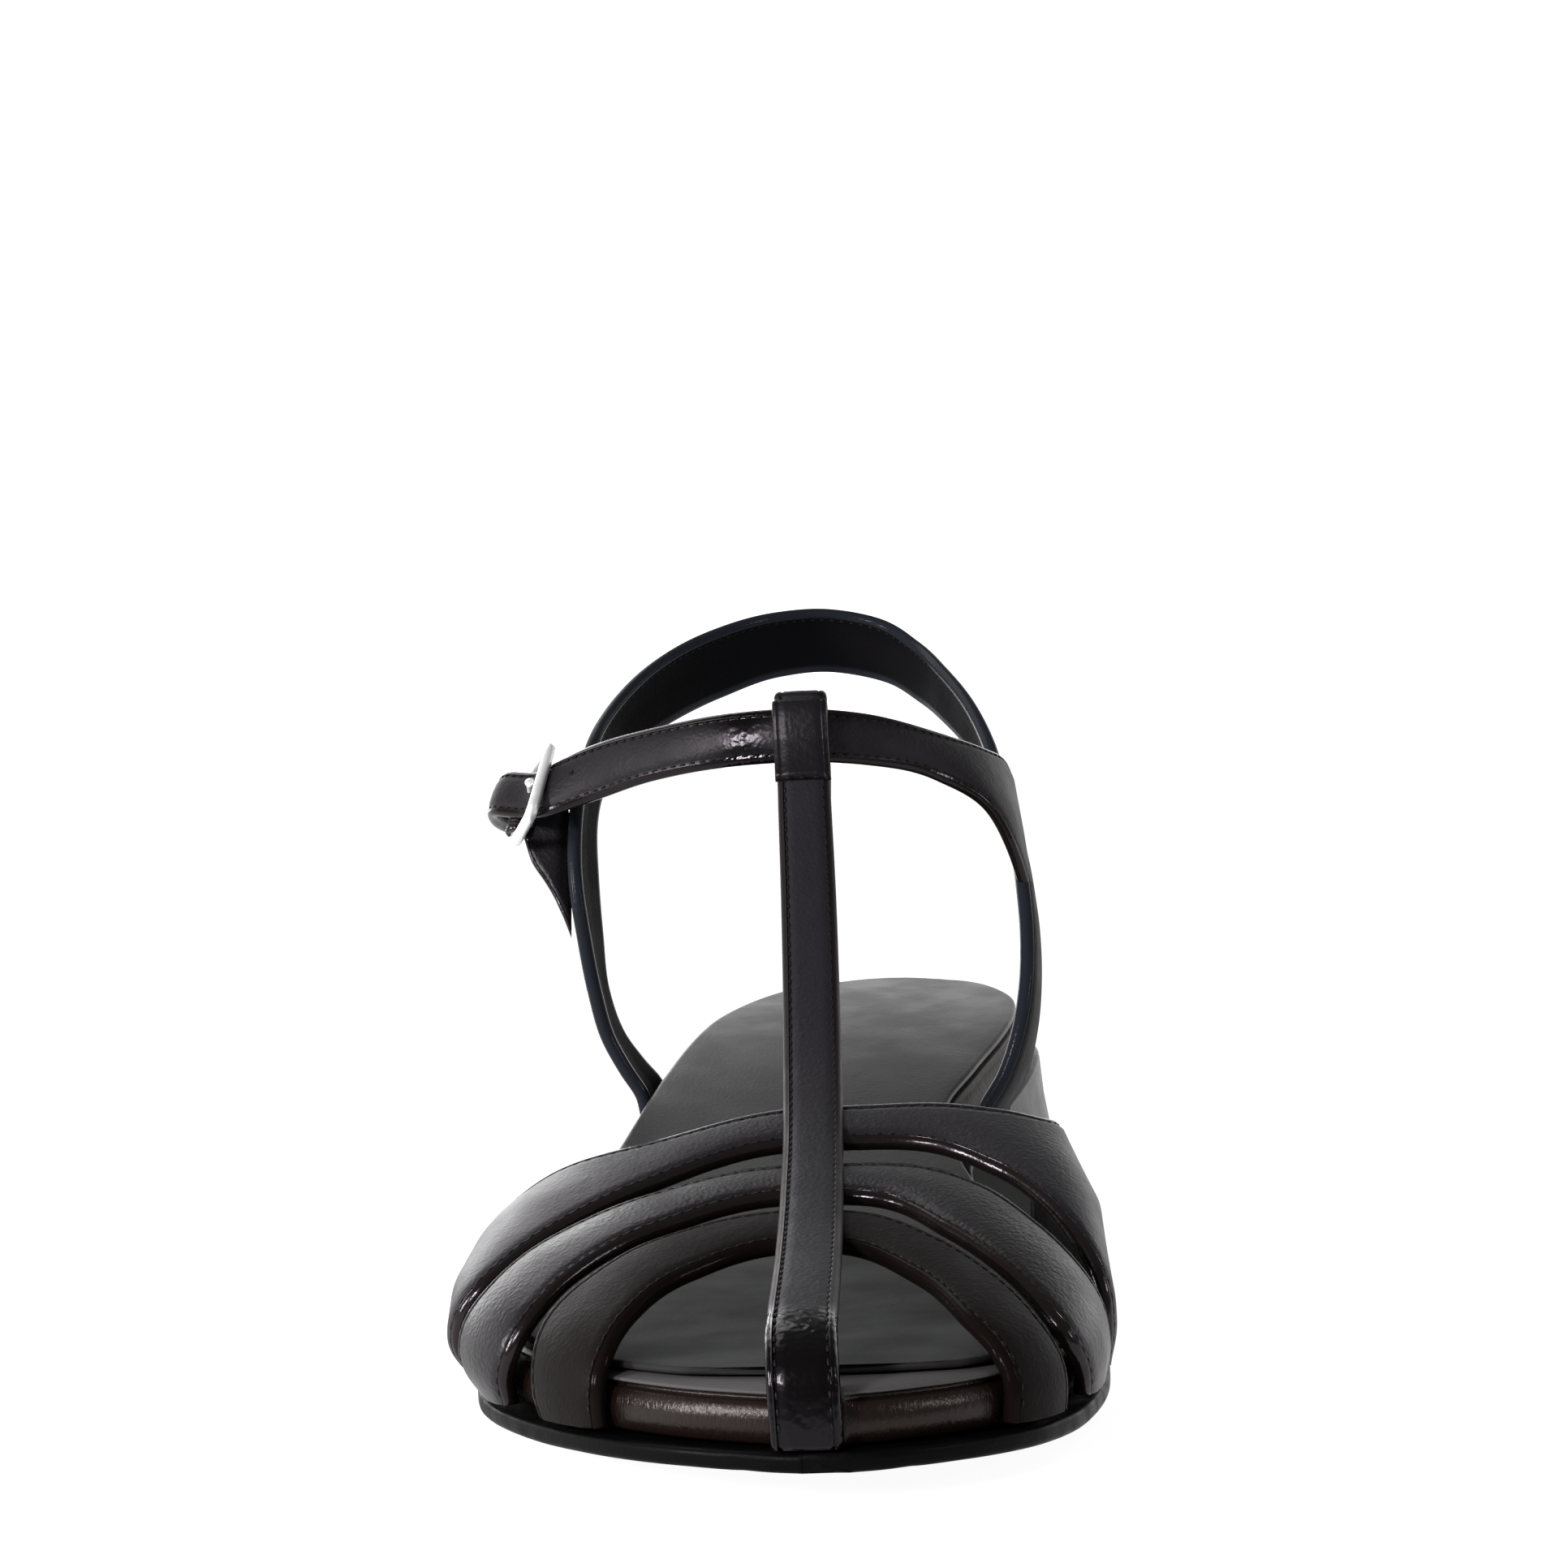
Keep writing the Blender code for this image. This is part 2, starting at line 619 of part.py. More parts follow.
# Buckle tab: sewn to the outer leg and folded round the rear bar, slotted for the prong.
tab_rows = list(TAB_ROWS)
fold = WIRE + GAP + TAB_THICK / 2 + 0.12
for turn in np.radians((0, 40, 80, 120, 160, 200, 230)):
    back = BUCKLE_LENGTH - fold * np.sin(turn)
    edges = [framed(back, side * TAB_WIDTH / 2, -fold * np.cos(turn)) * 1000 for side in (-1, 1)]
    tab_rows.append([value for edge in edges for value in (edge.x, edge.y + HEEL_CENTRE, edge.z)])
strip("buckle_tab", 34, 3, edged(tab_rows), TAB_THICK, 0.0, sandal, TAB_LEATHER, SLOT_START)
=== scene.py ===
import bmesh
import bpy
import numpy as np
from mathutils import Matrix, Vector


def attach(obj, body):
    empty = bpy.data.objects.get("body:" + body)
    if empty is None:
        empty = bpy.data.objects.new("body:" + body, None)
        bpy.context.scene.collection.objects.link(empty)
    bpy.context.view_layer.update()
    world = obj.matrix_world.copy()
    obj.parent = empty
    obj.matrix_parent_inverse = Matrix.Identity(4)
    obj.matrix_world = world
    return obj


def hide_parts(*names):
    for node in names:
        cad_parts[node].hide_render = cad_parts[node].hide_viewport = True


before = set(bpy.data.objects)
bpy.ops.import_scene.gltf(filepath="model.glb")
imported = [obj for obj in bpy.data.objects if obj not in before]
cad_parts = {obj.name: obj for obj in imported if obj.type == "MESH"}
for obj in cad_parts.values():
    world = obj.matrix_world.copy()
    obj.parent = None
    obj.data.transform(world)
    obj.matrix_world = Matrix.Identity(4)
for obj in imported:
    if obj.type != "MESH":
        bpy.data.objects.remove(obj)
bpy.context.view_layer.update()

# Sole unit: thin forepart, arched waist and low block heel, moulded in one of black rubber.
# The footbed is glued down inside its rim, and fine grooves are moulded under the forepart.
# Its tables are in millimetres: lengths from the toe, x negative on the outer side of the foot.
HEEL_CENTRE = 206.0
SOLE_THICK = 2.5
RIM = 3.0
HEEL_FLARE = 3.2
INNER_FLARE = 1.8
HEEL_BREAST = 168.0
BREAST_SLOPE = 4.0
INNER_FLARE_FADE = (200.0, 230.0)
SOLE_COLUMNS = ("from_toe", "outer", "inner", "under")
SOLE_ROWS = (
    (0.8, -1.6, 3.0, 4.8),
    (2.0, -6.4, 7.8, 4.6),
    (5.0, -12.6, 13.4, 4.3),
    (10.0, -20.0, 19.6, 3.7),
    (18.0, -28.4, 25.6, 2.8),
    (30.0, -37.6, 30.2, 1.5),
    (45.0, -46.2, 33.4, 0.4),
    (58.0, -50.2, 34.8, 0.0),
    (74.0, -51.4, 34.6, 0.0),
    (90.0, -50.2, 31.2, 0.6),
    (108.0, -47.8, 24.2, 4.0),
    (128.0, -44.4, 18.0, 9.5),
    (148.0, -41.0, 15.4, 15.2),
    (166.0, -38.2, 20.6, 19.8),
    (184.0, -35.2, 25.8, 23.4),
    (199.0, -32.2, 28.2, 25.6),
    (211.0, -28.2, 28.0, 26.9),
    (222.0, -23.2, 24.8, 27.8),
    (231.0, -17.4, 19.8, 28.4),
    (237.0, -11.6, 14.4, 28.8),
    (240.2, -5.6, 9.4, 29.0),
    (241.2, -1.4, 5.4, 29.1),
)
SOLE_EDGE = (
    (-0.8, 0.0, 1.0, 0.0),
    (-0.35, 0.0, 1.0, -0.1),
    (-0.08, 0.0, 1.0, -0.38),
    (0.0, 0.0, 1.0, -0.8),
    (0.0, 0.12, 0.75, -0.4),
    (0.0, 0.35, 0.5, 0.0),
    (0.0, 0.65, 0.25, 0.4),
    (0.0, 0.95, 0.0, 0.8),
    (-0.1, 1.0, 0.0, 0.4),
    (-0.4, 1.0, 0.0, 0.1),
    (-0.9, 1.0, 0.0, 0.0),
)
ACROSS = (0.06, 0.15, 0.3, 0.5, 0.7, 0.85, 0.94)


def place(x, from_toe, height):
    """Points in metres, with the origin on the floor under the middle of the heel."""
    x, from_toe, height = np.broadcast_arrays(x, from_toe, height)
    return np.stack((x, from_toe - HEEL_CENTRE, height), axis=-1) / 1000


def curve(at, values):
    """Smooth function through a column of a table."""
    at = np.asarray(at, float)
    values = np.asarray(values, float)
    slopes = np.gradient(values, at)

    def value(where):
        where = np.asarray(where, float)
        i = np.clip(np.searchsorted(at, where) - 1, 0, len(at) - 2)
        step = at[i + 1] - at[i]
        t = (where - at[i]) / step
        start = values[i] * (1 + 2 * t) + slopes[i] * step * t
        end = values[i + 1] * (3 - 2 * t) - slopes[i + 1] * step * (1 - t)
        return start * (1 - t) ** 2 + end * t**2

    return value


def faded(value, start, end):
    """0 up to start, 1 from end on and even between."""
    return np.clip((value - start) / (end - start), 0, 1)


def columns(names, rows):
    return {name: [row[i] for row in rows] for i, name in enumerate(names)}


sole = {
    name: curve(range(len(SOLE_ROWS)), values)
    for name, values in columns(SOLE_COLUMNS, SOLE_ROWS).items()
}
LAST_ROW = len(SOLE_ROWS) - 1
FINE_ROWS = np.linspace(0, LAST_ROW, 800)
FINE_LENGTHS = sole["from_toe"](FINE_ROWS)


def row_at(from_toe):
    return np.interp(from_toe, FINE_LENGTHS, FINE_ROWS)


def under_at(from_toe):
    return np.maximum(0.0, sole["under"](row_at(from_toe)))


def side_point(side, row, outward):
    """Plan point on one side of the outline, moved outward square to it."""
    sign = 1 if side == "inner" else -1
    before = np.clip(row - 0.02, 0, LAST_ROW)
    after = np.clip(row + 0.02, 0, LAST_ROW)
    dx = sole[side](after) - sole[side](before)
    dy = sole["from_toe"](after) - sole["from_toe"](before)
    long = np.hypot(dx, dy)
    return sole[side](row) + outward * sign * dy / long, sole["from_toe"](row) - outward * sign * dx / long


def cross_point(row, share, outward):
    """Plan point between the two sides, share 0 on the outer side and 1 on the inner side."""
    ax, ay = side_point("outer", row, outward)
    bx, by = side_point("inner", row, outward)
    return ax + (bx - ax) * share, ay + (by - ay) * share


def skinned(mesh, points, marks=None):
    """Adds a closed skin over rows of ring points, with named numbers kept at its vertices."""
    rows, around = points.shape[:2]
    for name in marks or {}:
        if name not in mesh.verts.layers.float:
            mesh.verts.layers.float.new(name)
    made = bmesh.ops.create_grid(mesh, x_segments=rows - 1, y_segments=around, size=0.5)["verts"]
    spots = [
        (round((vert.co.x + 0.5) * (rows - 1)), round((vert.co.y + 0.5) * around) % around)
        for vert in made
    ]
    for name, values in (marks or {}).items():
        layer = mesh.verts.layers.float[name]
        for vert, spot in zip(made, spots):
            vert[layer] = values[spot]
    for vert, spot in zip(made, spots):
        vert.co = points[spot]
    faces = list({face for vert in made for face in vert.link_faces})
    bmesh.ops.remove_doubles(mesh, verts=made, dist=1e-8)
    ends = {edge for face in faces if face.is_valid for edge in face.edges if edge.is_boundary}
    caps = bmesh.ops.holes_fill(mesh, edges=list(ends), sides=0)["faces"]
    faces = [face for face in faces if face.is_valid] + caps
    bmesh.ops.recalc_face_normals(mesh, faces=faces)
    for face in faces:
        face.smooth = True


def finished(name, mesh, *looks):
    data = bpy.data.meshes.new(name)
    mesh.to_mesh(data)
    mesh.free()
    made = bpy.data.objects.new(name, data)
    bpy.context.scene.collection.objects.link(made)
    for look in looks:
        data.materials.append(look)
    return made


class Shade:
    """A socket in a finish's nodes, on which arithmetic adds Math nodes."""

    def __init__(self, tree, socket=None):
        self.tree = tree
        self.socket = socket

    def node(self, kind, settings=None, sockets=None, output=0):
        made = self.tree.nodes.new(kind)
        for name, value in (settings or {}).items():
            setattr(made, name, value)
        for name, value in (sockets or {}).items():
            if isinstance(value, Shade):
                self.tree.links.new(value.socket, made.inputs[name])
            else:
                made.inputs[name].default_value = value
        return Shade(self.tree, made.outputs[output])

    def maths(self, operation, first, second=0.0):
        return self.node("ShaderNodeMath", {"operation": operation}, {0: first, 1: second})

    def __add__(self, other):
        return self.maths("ADD", self, other)

    def __sub__(self, other):
        return self.maths("SUBTRACT", self, other)

    def __rsub__(self, other):
        return self.maths("SUBTRACT", other, self)

    def __mul__(self, other):
        return self.maths("MULTIPLY", self, other)

    __radd__ = __add__
    __rmul__ = __mul__

    def step(self, low, high):
        """0 below low, 1 above high and smooth between."""
        settings = {"interpolation_type": "SMOOTHSTEP"}
        return self.node("ShaderNodeMapRange", settings, {"Value": self, "From Min": low, "From Max": high})

    def mix(self, first, second):
        """Colour between two, by this share."""
        return self.node("ShaderNodeMix", {"data_type": "RGBA"}, {"Factor": self, "A": first, "B": second}, 2)


class Finish(Shade):
    """A material with one Principled shader."""

    def __init__(self, name, **constants):
        self.material = bpy.data.materials.new(name)
        self.material.use_nodes = True
        super().__init__(self.material.node_tree)
        self.shader = self.tree.nodes["Principled BSDF"]
        for socket, value in constants.items():
            self.shader.inputs[socket.replace("_", " ")].default_value = value

    def feed(self, socket, shade):
        self.tree.links.new(shade.socket, self.shader.inputs[socket])

    def spot(self):
        return self.node("ShaderNodeTexCoord", output=3)

    def mark(self, name):
        return self.node("ShaderNodeAttribute", {"attribute_name": name}, output=2)

    def noise(self, scale, detail=2.0, roughness=0.5, where=None):
        sockets = {"Vector": where or self.spot(), "Scale": scale, "Detail": detail, "Roughness": roughness}
        return self.node("ShaderNodeTexNoise", {}, sockets)

    def cells(self, scale):
        sockets = {"Vector": self.spot(), "Scale": scale}
        return self.node("ShaderNodeTexVoronoi", {"feature": "SMOOTH_F1"}, sockets)

    def before(self, from_toe, soft):
        """1 on the toe's side of a length from the toe, 0 behind it."""
        along = self.node("ShaderNodeSeparateXYZ", {}, {"Vector": self.spot()}, 1)
        edge = (from_toe - HEEL_CENTRE) / 1000
        return 1.0 - along.step(edge - soft / 1000, edge + soft / 1000)

    def bump(self, height, depth):
        """Bumps the surface, depth in metres for a height of 1."""
        sockets = {"Height": height, "Distance": depth, "Strength": 1.0}
        self.feed("Normal", self.node("ShaderNodeBump", {}, sockets))


def sole_edge_ring():
    """Rows of share, outward, flare, up and lift round the sole's section."""
    outer = [(0.0, *row) for row in reversed(SOLE_EDGE)]
    top = [(share, *SOLE_EDGE[0]) for share in ACROSS]
    inner = [(1.0, *row) for row in SOLE_EDGE]
    under = [(share, *SOLE_EDGE[-1]) for share in reversed(ACROSS)]
    return np.array(outer + top + inner + under).T


def sole_points(rows):
    share, outward, flare, up, lift = sole_edge_ring()
    _, y = cross_point(rows[:, None], share, RIM)
    heel = np.clip((y - HEEL_BREAST) / BREAST_SLOPE, 0.0, 1.0)
    beside = share * (1 - faded(y, *INNER_FLARE_FADE))
    spread = (HEEL_FLARE + INNER_FLARE * beside) * heel * flare
    x, y = cross_point(rows[:, None], share, RIM + outward + spread)
    low = under_at(y) * (1 - heel)
    high = under_at(y) + SOLE_THICK
    return place(x, y, low + (high - low) * up + lift)


heel_rows = row_at(HEEL_BREAST + np.array((-0.5, 0.0, 0.3, 1.0, 2.0, 3.0, 3.7, 4.0, 4.5)))
even_rows = np.linspace(0, LAST_ROW, 150)
clear_of_breast = (even_rows < heel_rows[0] - 0.05) | (even_rows > heel_rows[-1] + 0.05)
sole_rows = np.sort(np.concatenate((even_rows[clear_of_breast], heel_rows)))
sole_skin = sole_points(sole_rows)
_, _, _, ring_up, ring_lift = sole_edge_ring()
under_mark = np.broadcast_to((ring_up < 0.1) & (ring_lift < 0.05), sole_skin.shape[:2]).astype(float)

rubber = Finish(
    "sole_rubber",
    Base_Color=(0.0018, 0.0018, 0.0018, 1.0),
    Specular_IOR_Level=0.04,
    Coat_Roughness=0.4,
)
lay = rubber.node("ShaderNodeSeparateXYZ", {}, {"Vector": rubber.spot()})
along = rubber.node("ShaderNodeSeparateXYZ", {}, {"Vector": rubber.spot()}, 1)
grooves = rubber.maths("SINE", (along + lay * 0.35) * 2600.0).step(-0.2, 0.5)
pits = rubber.noise(1800.0, 3.0)
rubber.bump(pits * 0.12 + grooves * rubber.mark("under"), 0.0003)
rubber.feed("Coat Weight", (1.0 - rubber.before(150.0, 20.0)) * 0.6)
rubber.feed("Roughness", rubber.noise(220.0, 3.0).step(0.3, 0.7) * 0.16 + 0.34)

mesh = bmesh.new()
skinned(mesh, sole_skin, {"under": under_mark})
sole_unit = finished("sole_body", mesh, rubber.material)
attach(sole_unit, "root")
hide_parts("sole_unit")

# Footbed: board wrapped in glossy black grained leather, drawn tight round its rounded edge.
# It is glued on the sole over the straps' feet. Round the open toe its edge shows a band with a groove
# under it, the band painted light grey as a reflection of the white around it.
GAP = 0.3
FOOTBED_BASE = SOLE_THICK + GAP
FOOTBED_THICK = 7.8
TOE_THIN = 0.7
TOE_TAPER = 45.0
EDGE_ROUND = 1.8
BAND_END = (45.0, 30.0)
FOOTBED_EDGE = (
    (-4.2, 0.0, 1.0),
    (-1.8, 0.36, 1.0),
    (-1.1, 0.48, 1.0),
    (-0.95, 0.58, 1.0),
    (-0.95, 0.85, 0.6),
    (-1.5, 1.0, 0.0),
    (-1.8, 1.3, 0.0),
    (-1.6, 1.6, 0.0),
    (-1.1, 1.7, 0.0),
    (-0.75, 1.95, 0.0),
    (-0.45, 2.4, 0.0),
    (-0.2, 2.95, 0.0),
    (0.0, 3.6, 0.0),
    (0.1, 4.3, 0.0),
    (0.05, 5.2, 0.0),
    (-0.15, 6.1, 0.0),
    (-0.45, 6.8, 0.0),
    (-0.8, 7.1, 0.0),
)


def footbed_top(from_toe):
    """Height of the footbed's upper face, a little thinner at the toe."""
    thin = TOE_THIN * (1 - np.clip(from_toe / TOE_TAPER, 0, 1)) ** 2
    return under_at(from_toe) + FOOTBED_BASE + FOOTBED_THICK - thin


def footbed_ring():
    """Rows of share, outward, drop and band, from the band over the groove and down the bulging wall."""
    outer = [(0.0, *row) for row in reversed(FOOTBED_EDGE)]
    top = [(share, *FOOTBED_EDGE[0]) for share in ACROSS]
    inner = [(1.0, *row) for row in FOOTBED_EDGE]
    base = [(share, *FOOTBED_EDGE[-1]) for share in reversed(ACROSS)]
    return np.array(outer + top + inner + base).T


def toe_share(rows):
    """How much each row belongs to the open toe, where the band and its groove show."""
    return faded(sole["from_toe"](rows), *BAND_END)


def footbed_points(rows):
    share, outward, drop, _ = footbed_ring()
    ends = np.minimum(rows, LAST_ROW - rows)
    shrink = np.minimum(1.0, (0.4 + 3.0 * ends) / EDGE_ROUND)[:, None]
    lip_outward, lip_drop, _ = FOOTBED_EDGE[3]
    plain = np.where(drop >= lip_drop, np.maximum(outward, lip_outward), outward)
    outward = plain + (outward - plain) * toe_share(rows)[:, None]
    x, y = cross_point(rows[:, None], share, outward * shrink)
    return place(x, y, footbed_top(y) - drop)


footbed_rows = np.linspace(0, LAST_ROW, 170)
footbed_skin = footbed_points(footbed_rows)
# Where the band shows at the toe; its light grey there is a painted reflection.
band_mark = toe_share(footbed_rows)[:, None] * footbed_ring()[3]

wrap = Finish("wrap_leather", Specular_IOR_Level=0.26, Specular_Tint=(1.0, 0.88, 0.85, 1.0))
band = wrap.mark("band")
slanted = {"Vector": wrap.spot(), "Rotation": (0.0, 0.55, 0.0), "Scale": (2.4, 1.4, 0.6)}
wrinkles = wrap.noise(900.0, 3.0, 0.6, wrap.node("ShaderNodeMapping", {}, slanted))
pebbles = wrap.cells(1500.0)
wrap.bump((wrinkles * 1.3 + pebbles * 0.3) * (1.0 - band * 0.85), 0.00009)
patches = wrap.noise(160.0, 3.0).step(0.3, 0.7)
wrap.feed("Roughness", patches * 0.06 + 0.5 - wrap.before(55.0, 10.0) * 0.26 + band * 0.5)
# Painted reflection: the band's light grey stands in for the white its flat top reflects.
wrap.feed("Base Color", band.mix((0.008, 0.0045, 0.0035, 1.0), (0.07, 0.067, 0.07, 1.0)))

mesh = bmesh.new()
skinned(mesh, footbed_skin, {"band": band_mark})
footbed = finished("wrapped_footbed", mesh, wrap.material)
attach(footbed, "root")
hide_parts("footbed")

# Insole: thin matt sock of black leather, cut short of the footbed's edge and glued on it.
# Its rim is skived thin, and the wearer's side stays bare.
INSOLE_LIFT = GAP + 0.1
INSOLE_THICK = 0.9
INSOLE_INSET = 3.4
INSOLE_WIDER = 2.2
INSOLE_WIDENING = (40.0, 90.0)
INSOLE_BOW = 2.5
INSOLE_BACK = 4.0
INSOLE_ROUNDING = (226.0, 238.0)
INSOLE_TOE = 11.0
INSOLE_HEEL = 238.0
INSOLE_EDGE = ((0.0, 0.0), (-0.02, 0.35), (0.1, 0.7), (0.4, 0.86), (0.9, 0.9))


def insole_points(rows):
    outer = [(0.0, *row) for row in INSOLE_EDGE]
    top = [(share, 0.0, INSOLE_THICK) for share in ACROSS]
    inner = [(1.0, -inset, up) for inset, up in reversed(INSOLE_EDGE)]
    base = [(share, 0.0, 0.0) for share in reversed(ACROSS)]
    share, inset, up = np.array(outer + top + inner + base).T
    fade = np.maximum(0.0, 1.0 - (rows - rows[0]) / 2.0)[:, None] ** 2
    y = sole["from_toe"](rows)[:, None]
    trim = INSOLE_INSET - INSOLE_WIDER * faded(y, *INSOLE_WIDENING)
    start = sole["outer"](rows)[:, None] + trim
    end = sole["inner"](rows)[:, None] - trim
    back = faded(y, *INSOLE_ROUNDING) ** 2
    y = y + (INSOLE_BOW * fade - INSOLE_BACK * back) * (2 * share - 1) ** 2
    return place(start + (end - start) * share + inset, y, footbed_top(y) + INSOLE_LIFT + up)


sock = Finish("sock_leather", Base_Color=(0.006, 0.006, 0.0065, 1.0), Specular_IOR_Level=0.4)
sock.bump(sock.noise(1500.0, 4.0) * 0.5 + sock.noise(60.0, 2.0) * 1.5, 0.00012)
sock.feed("Roughness", sock.noise(90.0, 3.0).step(0.3, 0.7) * 0.1 + 0.36 + sock.before(95.0, 25.0) * 0.38)

mesh = bmesh.new()
skinned(mesh, insole_points(np.linspace(row_at(INSOLE_TOE), row_at(INSOLE_HEEL), 150)))
insole = finished("sock", mesh, sock.material)
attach(insole, "root")
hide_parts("insole")

# T-bar: narrow folded strap from under the toe up to the ankle, sewn along both edges.
# Its end is folded back as a loop that carries the ankle strap, and sewn down on the front as a flap.
STRAP_THICK = 2.0
BAR_COLUMNS = ("from_toe", "x", "height", "width")
BAR_ROWS = (
    (0.1, -1.5, 8.0, 9.2),
    (-0.2, -1.6, 12.0, 9.2),
    (0.7, -1.8, 16.6, 9.2),
    (4.6, -2.1, 19.3, 9.2),
    (12.0, -2.3, 20.9, 9.1),
    (22.0, -2.5, 22.2, 9.1),
    (40.0, -3.0, 24.5, 9.1),
    (60.0, -3.7, 28.3, 9.1),
    (80.0, -4.5, 33.6, 9.1),
    (97.8, -5.3, 42.1, 9.2),
    (113.3, -6.0, 53.7, 9.2),
    (125.5, -6.6, 66.2, 9.2),
    (136.6, -7.3, 79.3, 9.1),
    (141.4, -7.6, 86.6, 9.0),
    (143.3, -7.8, 91.2, 9.0),
    (145.1, -7.9, 97.2, 9.0),
    (147.2, -7.9, 98.7, 9.0),
)
LOOP_ROWS = (
    (145.4, -7.9, 98.6, 9.0),
    (147.6, -7.9, 98.8, 9.0),
    (149.0, -7.9, 96.6, 9.0),
    (148.2, -7.8, 91.0, 9.0),
    (144.6, -7.6, 86.0, 9.0),
    (140.4, -7.5, 82.9, 9.0),
)
LOOP_THICK = 1.6
BAR_SEAM = 1.3
FLAP_THICK = 1.3
FLAP_BASE = STRAP_THICK - 0.2
FLAP_SEAM = 1.1
FLAP_HEIGHT = 84.2
FLAP_WIDER = 1.06
# The flap and the bar's end over the toe are glossy, and their colour there is painted darker, as painted
# shade.
FLAP_GLOSS_AND_SHADE = 0.5
TOE_GLOSS_AND_SHADE = (13.0, 9.0)
SEAM_INSET = 1.5
STITCH_PITCH = 2.0
STITCH_SIZE = (0.62, 0.22, 0.2)
THREAD_SLOT = 1
LINING_SLOT = 2
FACE_COLOUR = (0.0075, 0.007, 0.0082, 1.0)
EDGE_COLOUR = (0.006, 0.004, 0.0035, 1.0)
# Painted shade: the darker colour of the glossy stretches of the straps.
GLOSS_SHADE_COLOUR = (0.0015, 0.0013, 0.0013, 1.0)
# Dark lining leather, painted darker still as the shade inside the shoe.
LINING_AND_SHADE_COLOUR = (0.003, 0.0028, 0.0034, 1.0)
SHINE_ROUGHNESS = 0.18


def by_length(names, rows):
    """Each column as a smooth function of the share of the length along the rows."""
    points = np.array([row[:3] for row in rows], float)
    steps = np.linalg.norm(np.diff(points, axis=0), axis=1)
    shares = np.concatenate([[0.0], np.cumsum(steps)]) / steps.sum()
    return {name: curve(shares, values) for name, values in columns(names, rows).items()}


def barred(rows):
    """Surface of a straight-cut strap across its middle line."""
    at = by_length(BAR_COLUMNS, rows)

    def surface(u, v):
        return place(at["x"](u) + at["width"](u) * (0.5 - v), at["from_toe"](u), at["height"](u))

    return surface


def normals(surface, u, v):
    """Outward directions of a strap's surface."""
    step = 1e-3
    run = surface(u + step, v) - surface(u - step, v)
    side = surface(u, v + step) - surface(u, v - step)
    out = np.cross(run, side)
    return out / np.linalg.norm(out, axis=-1, keepdims=True)


def widths(surface, u):
    """Width of a strap in millimetres at each share of its length."""
    points = surface(u[:, None], np.linspace(0, 1, 9)[None, :])
    return np.linalg.norm(np.diff(points, axis=1), axis=-1).sum(axis=1)[:, None] * 1000


def strap_ring(thick, seam, dome):
    """Rows of share, inward, out, rim and lining round a folded strap, with rolled edges and sunk seams."""
    turns = np.radians(np.linspace(-100, 90, 11))
    sides = []
    for share, sign, radius in ((0.0, 1, thick * 0.62), (1.0, -1, thick * 0.5)):
        edge = [(radius - radius * np.cos(t), thick - radius + radius * np.sin(t), 1.0) for t in turns]
        edge += [(seam - 0.35, thick + 0.03, 0.7), (seam, thick - 0.2, 0.3), (seam + 0.4, thick + 0.06, 0.0)]
        edge.append((seam + 1.5, thick + dome * 0.75, 0.0))
        sides.append([(share, sign * inward, out, rim, 0.0) for inward, out, rim in edge])
    front, rear = sides
    middle = [(0.5, 0.0, thick + dome, 0.0, 0.0)]
    inside = [(1.0, -2.0, 0.0, 0.0, 1.0), (0.5, 0.0, 0.0, 0.0, 1.0), (0.0, 2.0, 0.0, 0.0, 1.0)]
    return np.array(front + middle + rear[::-1] + inside).T


def ribbon(
    mesh, surface, thick, count, base=0.0, seam=SEAM_INSET, dome=0.45, ends=(0.0, 1.0), nose=0.0, gloss_and_shade=None
):
    """Adds a folded strap along a surface, base out from it, thinned over a nose, and glossy and painted
    darker by u.
    """
    share, inward, out, rim, lining = strap_ring(thick, seam, dome)
    u = np.linspace(*ends, count)
    wide = widths(surface, u)
    v = np.clip(share + inward / wide, 0.0, 1.0)
    u = np.broadcast_to(u[:, None], v.shape)
    middle = surface(u[:, 0], 0.5)
    run = np.linalg.norm(np.diff(middle, axis=0, prepend=middle[:1]), axis=1).cumsum() * 1000
    full = np.sqrt(1 - (1 - np.clip((run + 0.05) / (nose + 0.05), 0, 1)) ** 2)
    points = surface(u, v) + normals(surface, u, v) * (base + out * full[:, None])[..., None] / 1000
    marks = {"rim": np.broadcast_to(rim, v.shape), "lining": np.broadcast_to(lining, v.shape)}
    if gloss_and_shade:
        marks["gloss_and_shade"] = gloss_and_shade(u)
    skinned(mesh, points, marks)
    layer = mesh.verts.layers.float["lining"]
    for face in mesh.faces:
        if all(vert[layer] > 0.5 for vert in face.verts):
            face.material_index = LINING_SLOT


unit = bmesh.new()
bmesh.ops.create_uvsphere(unit, u_segments=6, v_segments=4, radius=1.0)
for face in unit.faces:
    face.smooth = True
    face.material_index = THREAD_SLOT
stitch = bpy.data.meshes.new("stitch")
unit.to_mesh(stitch)
unit.free()


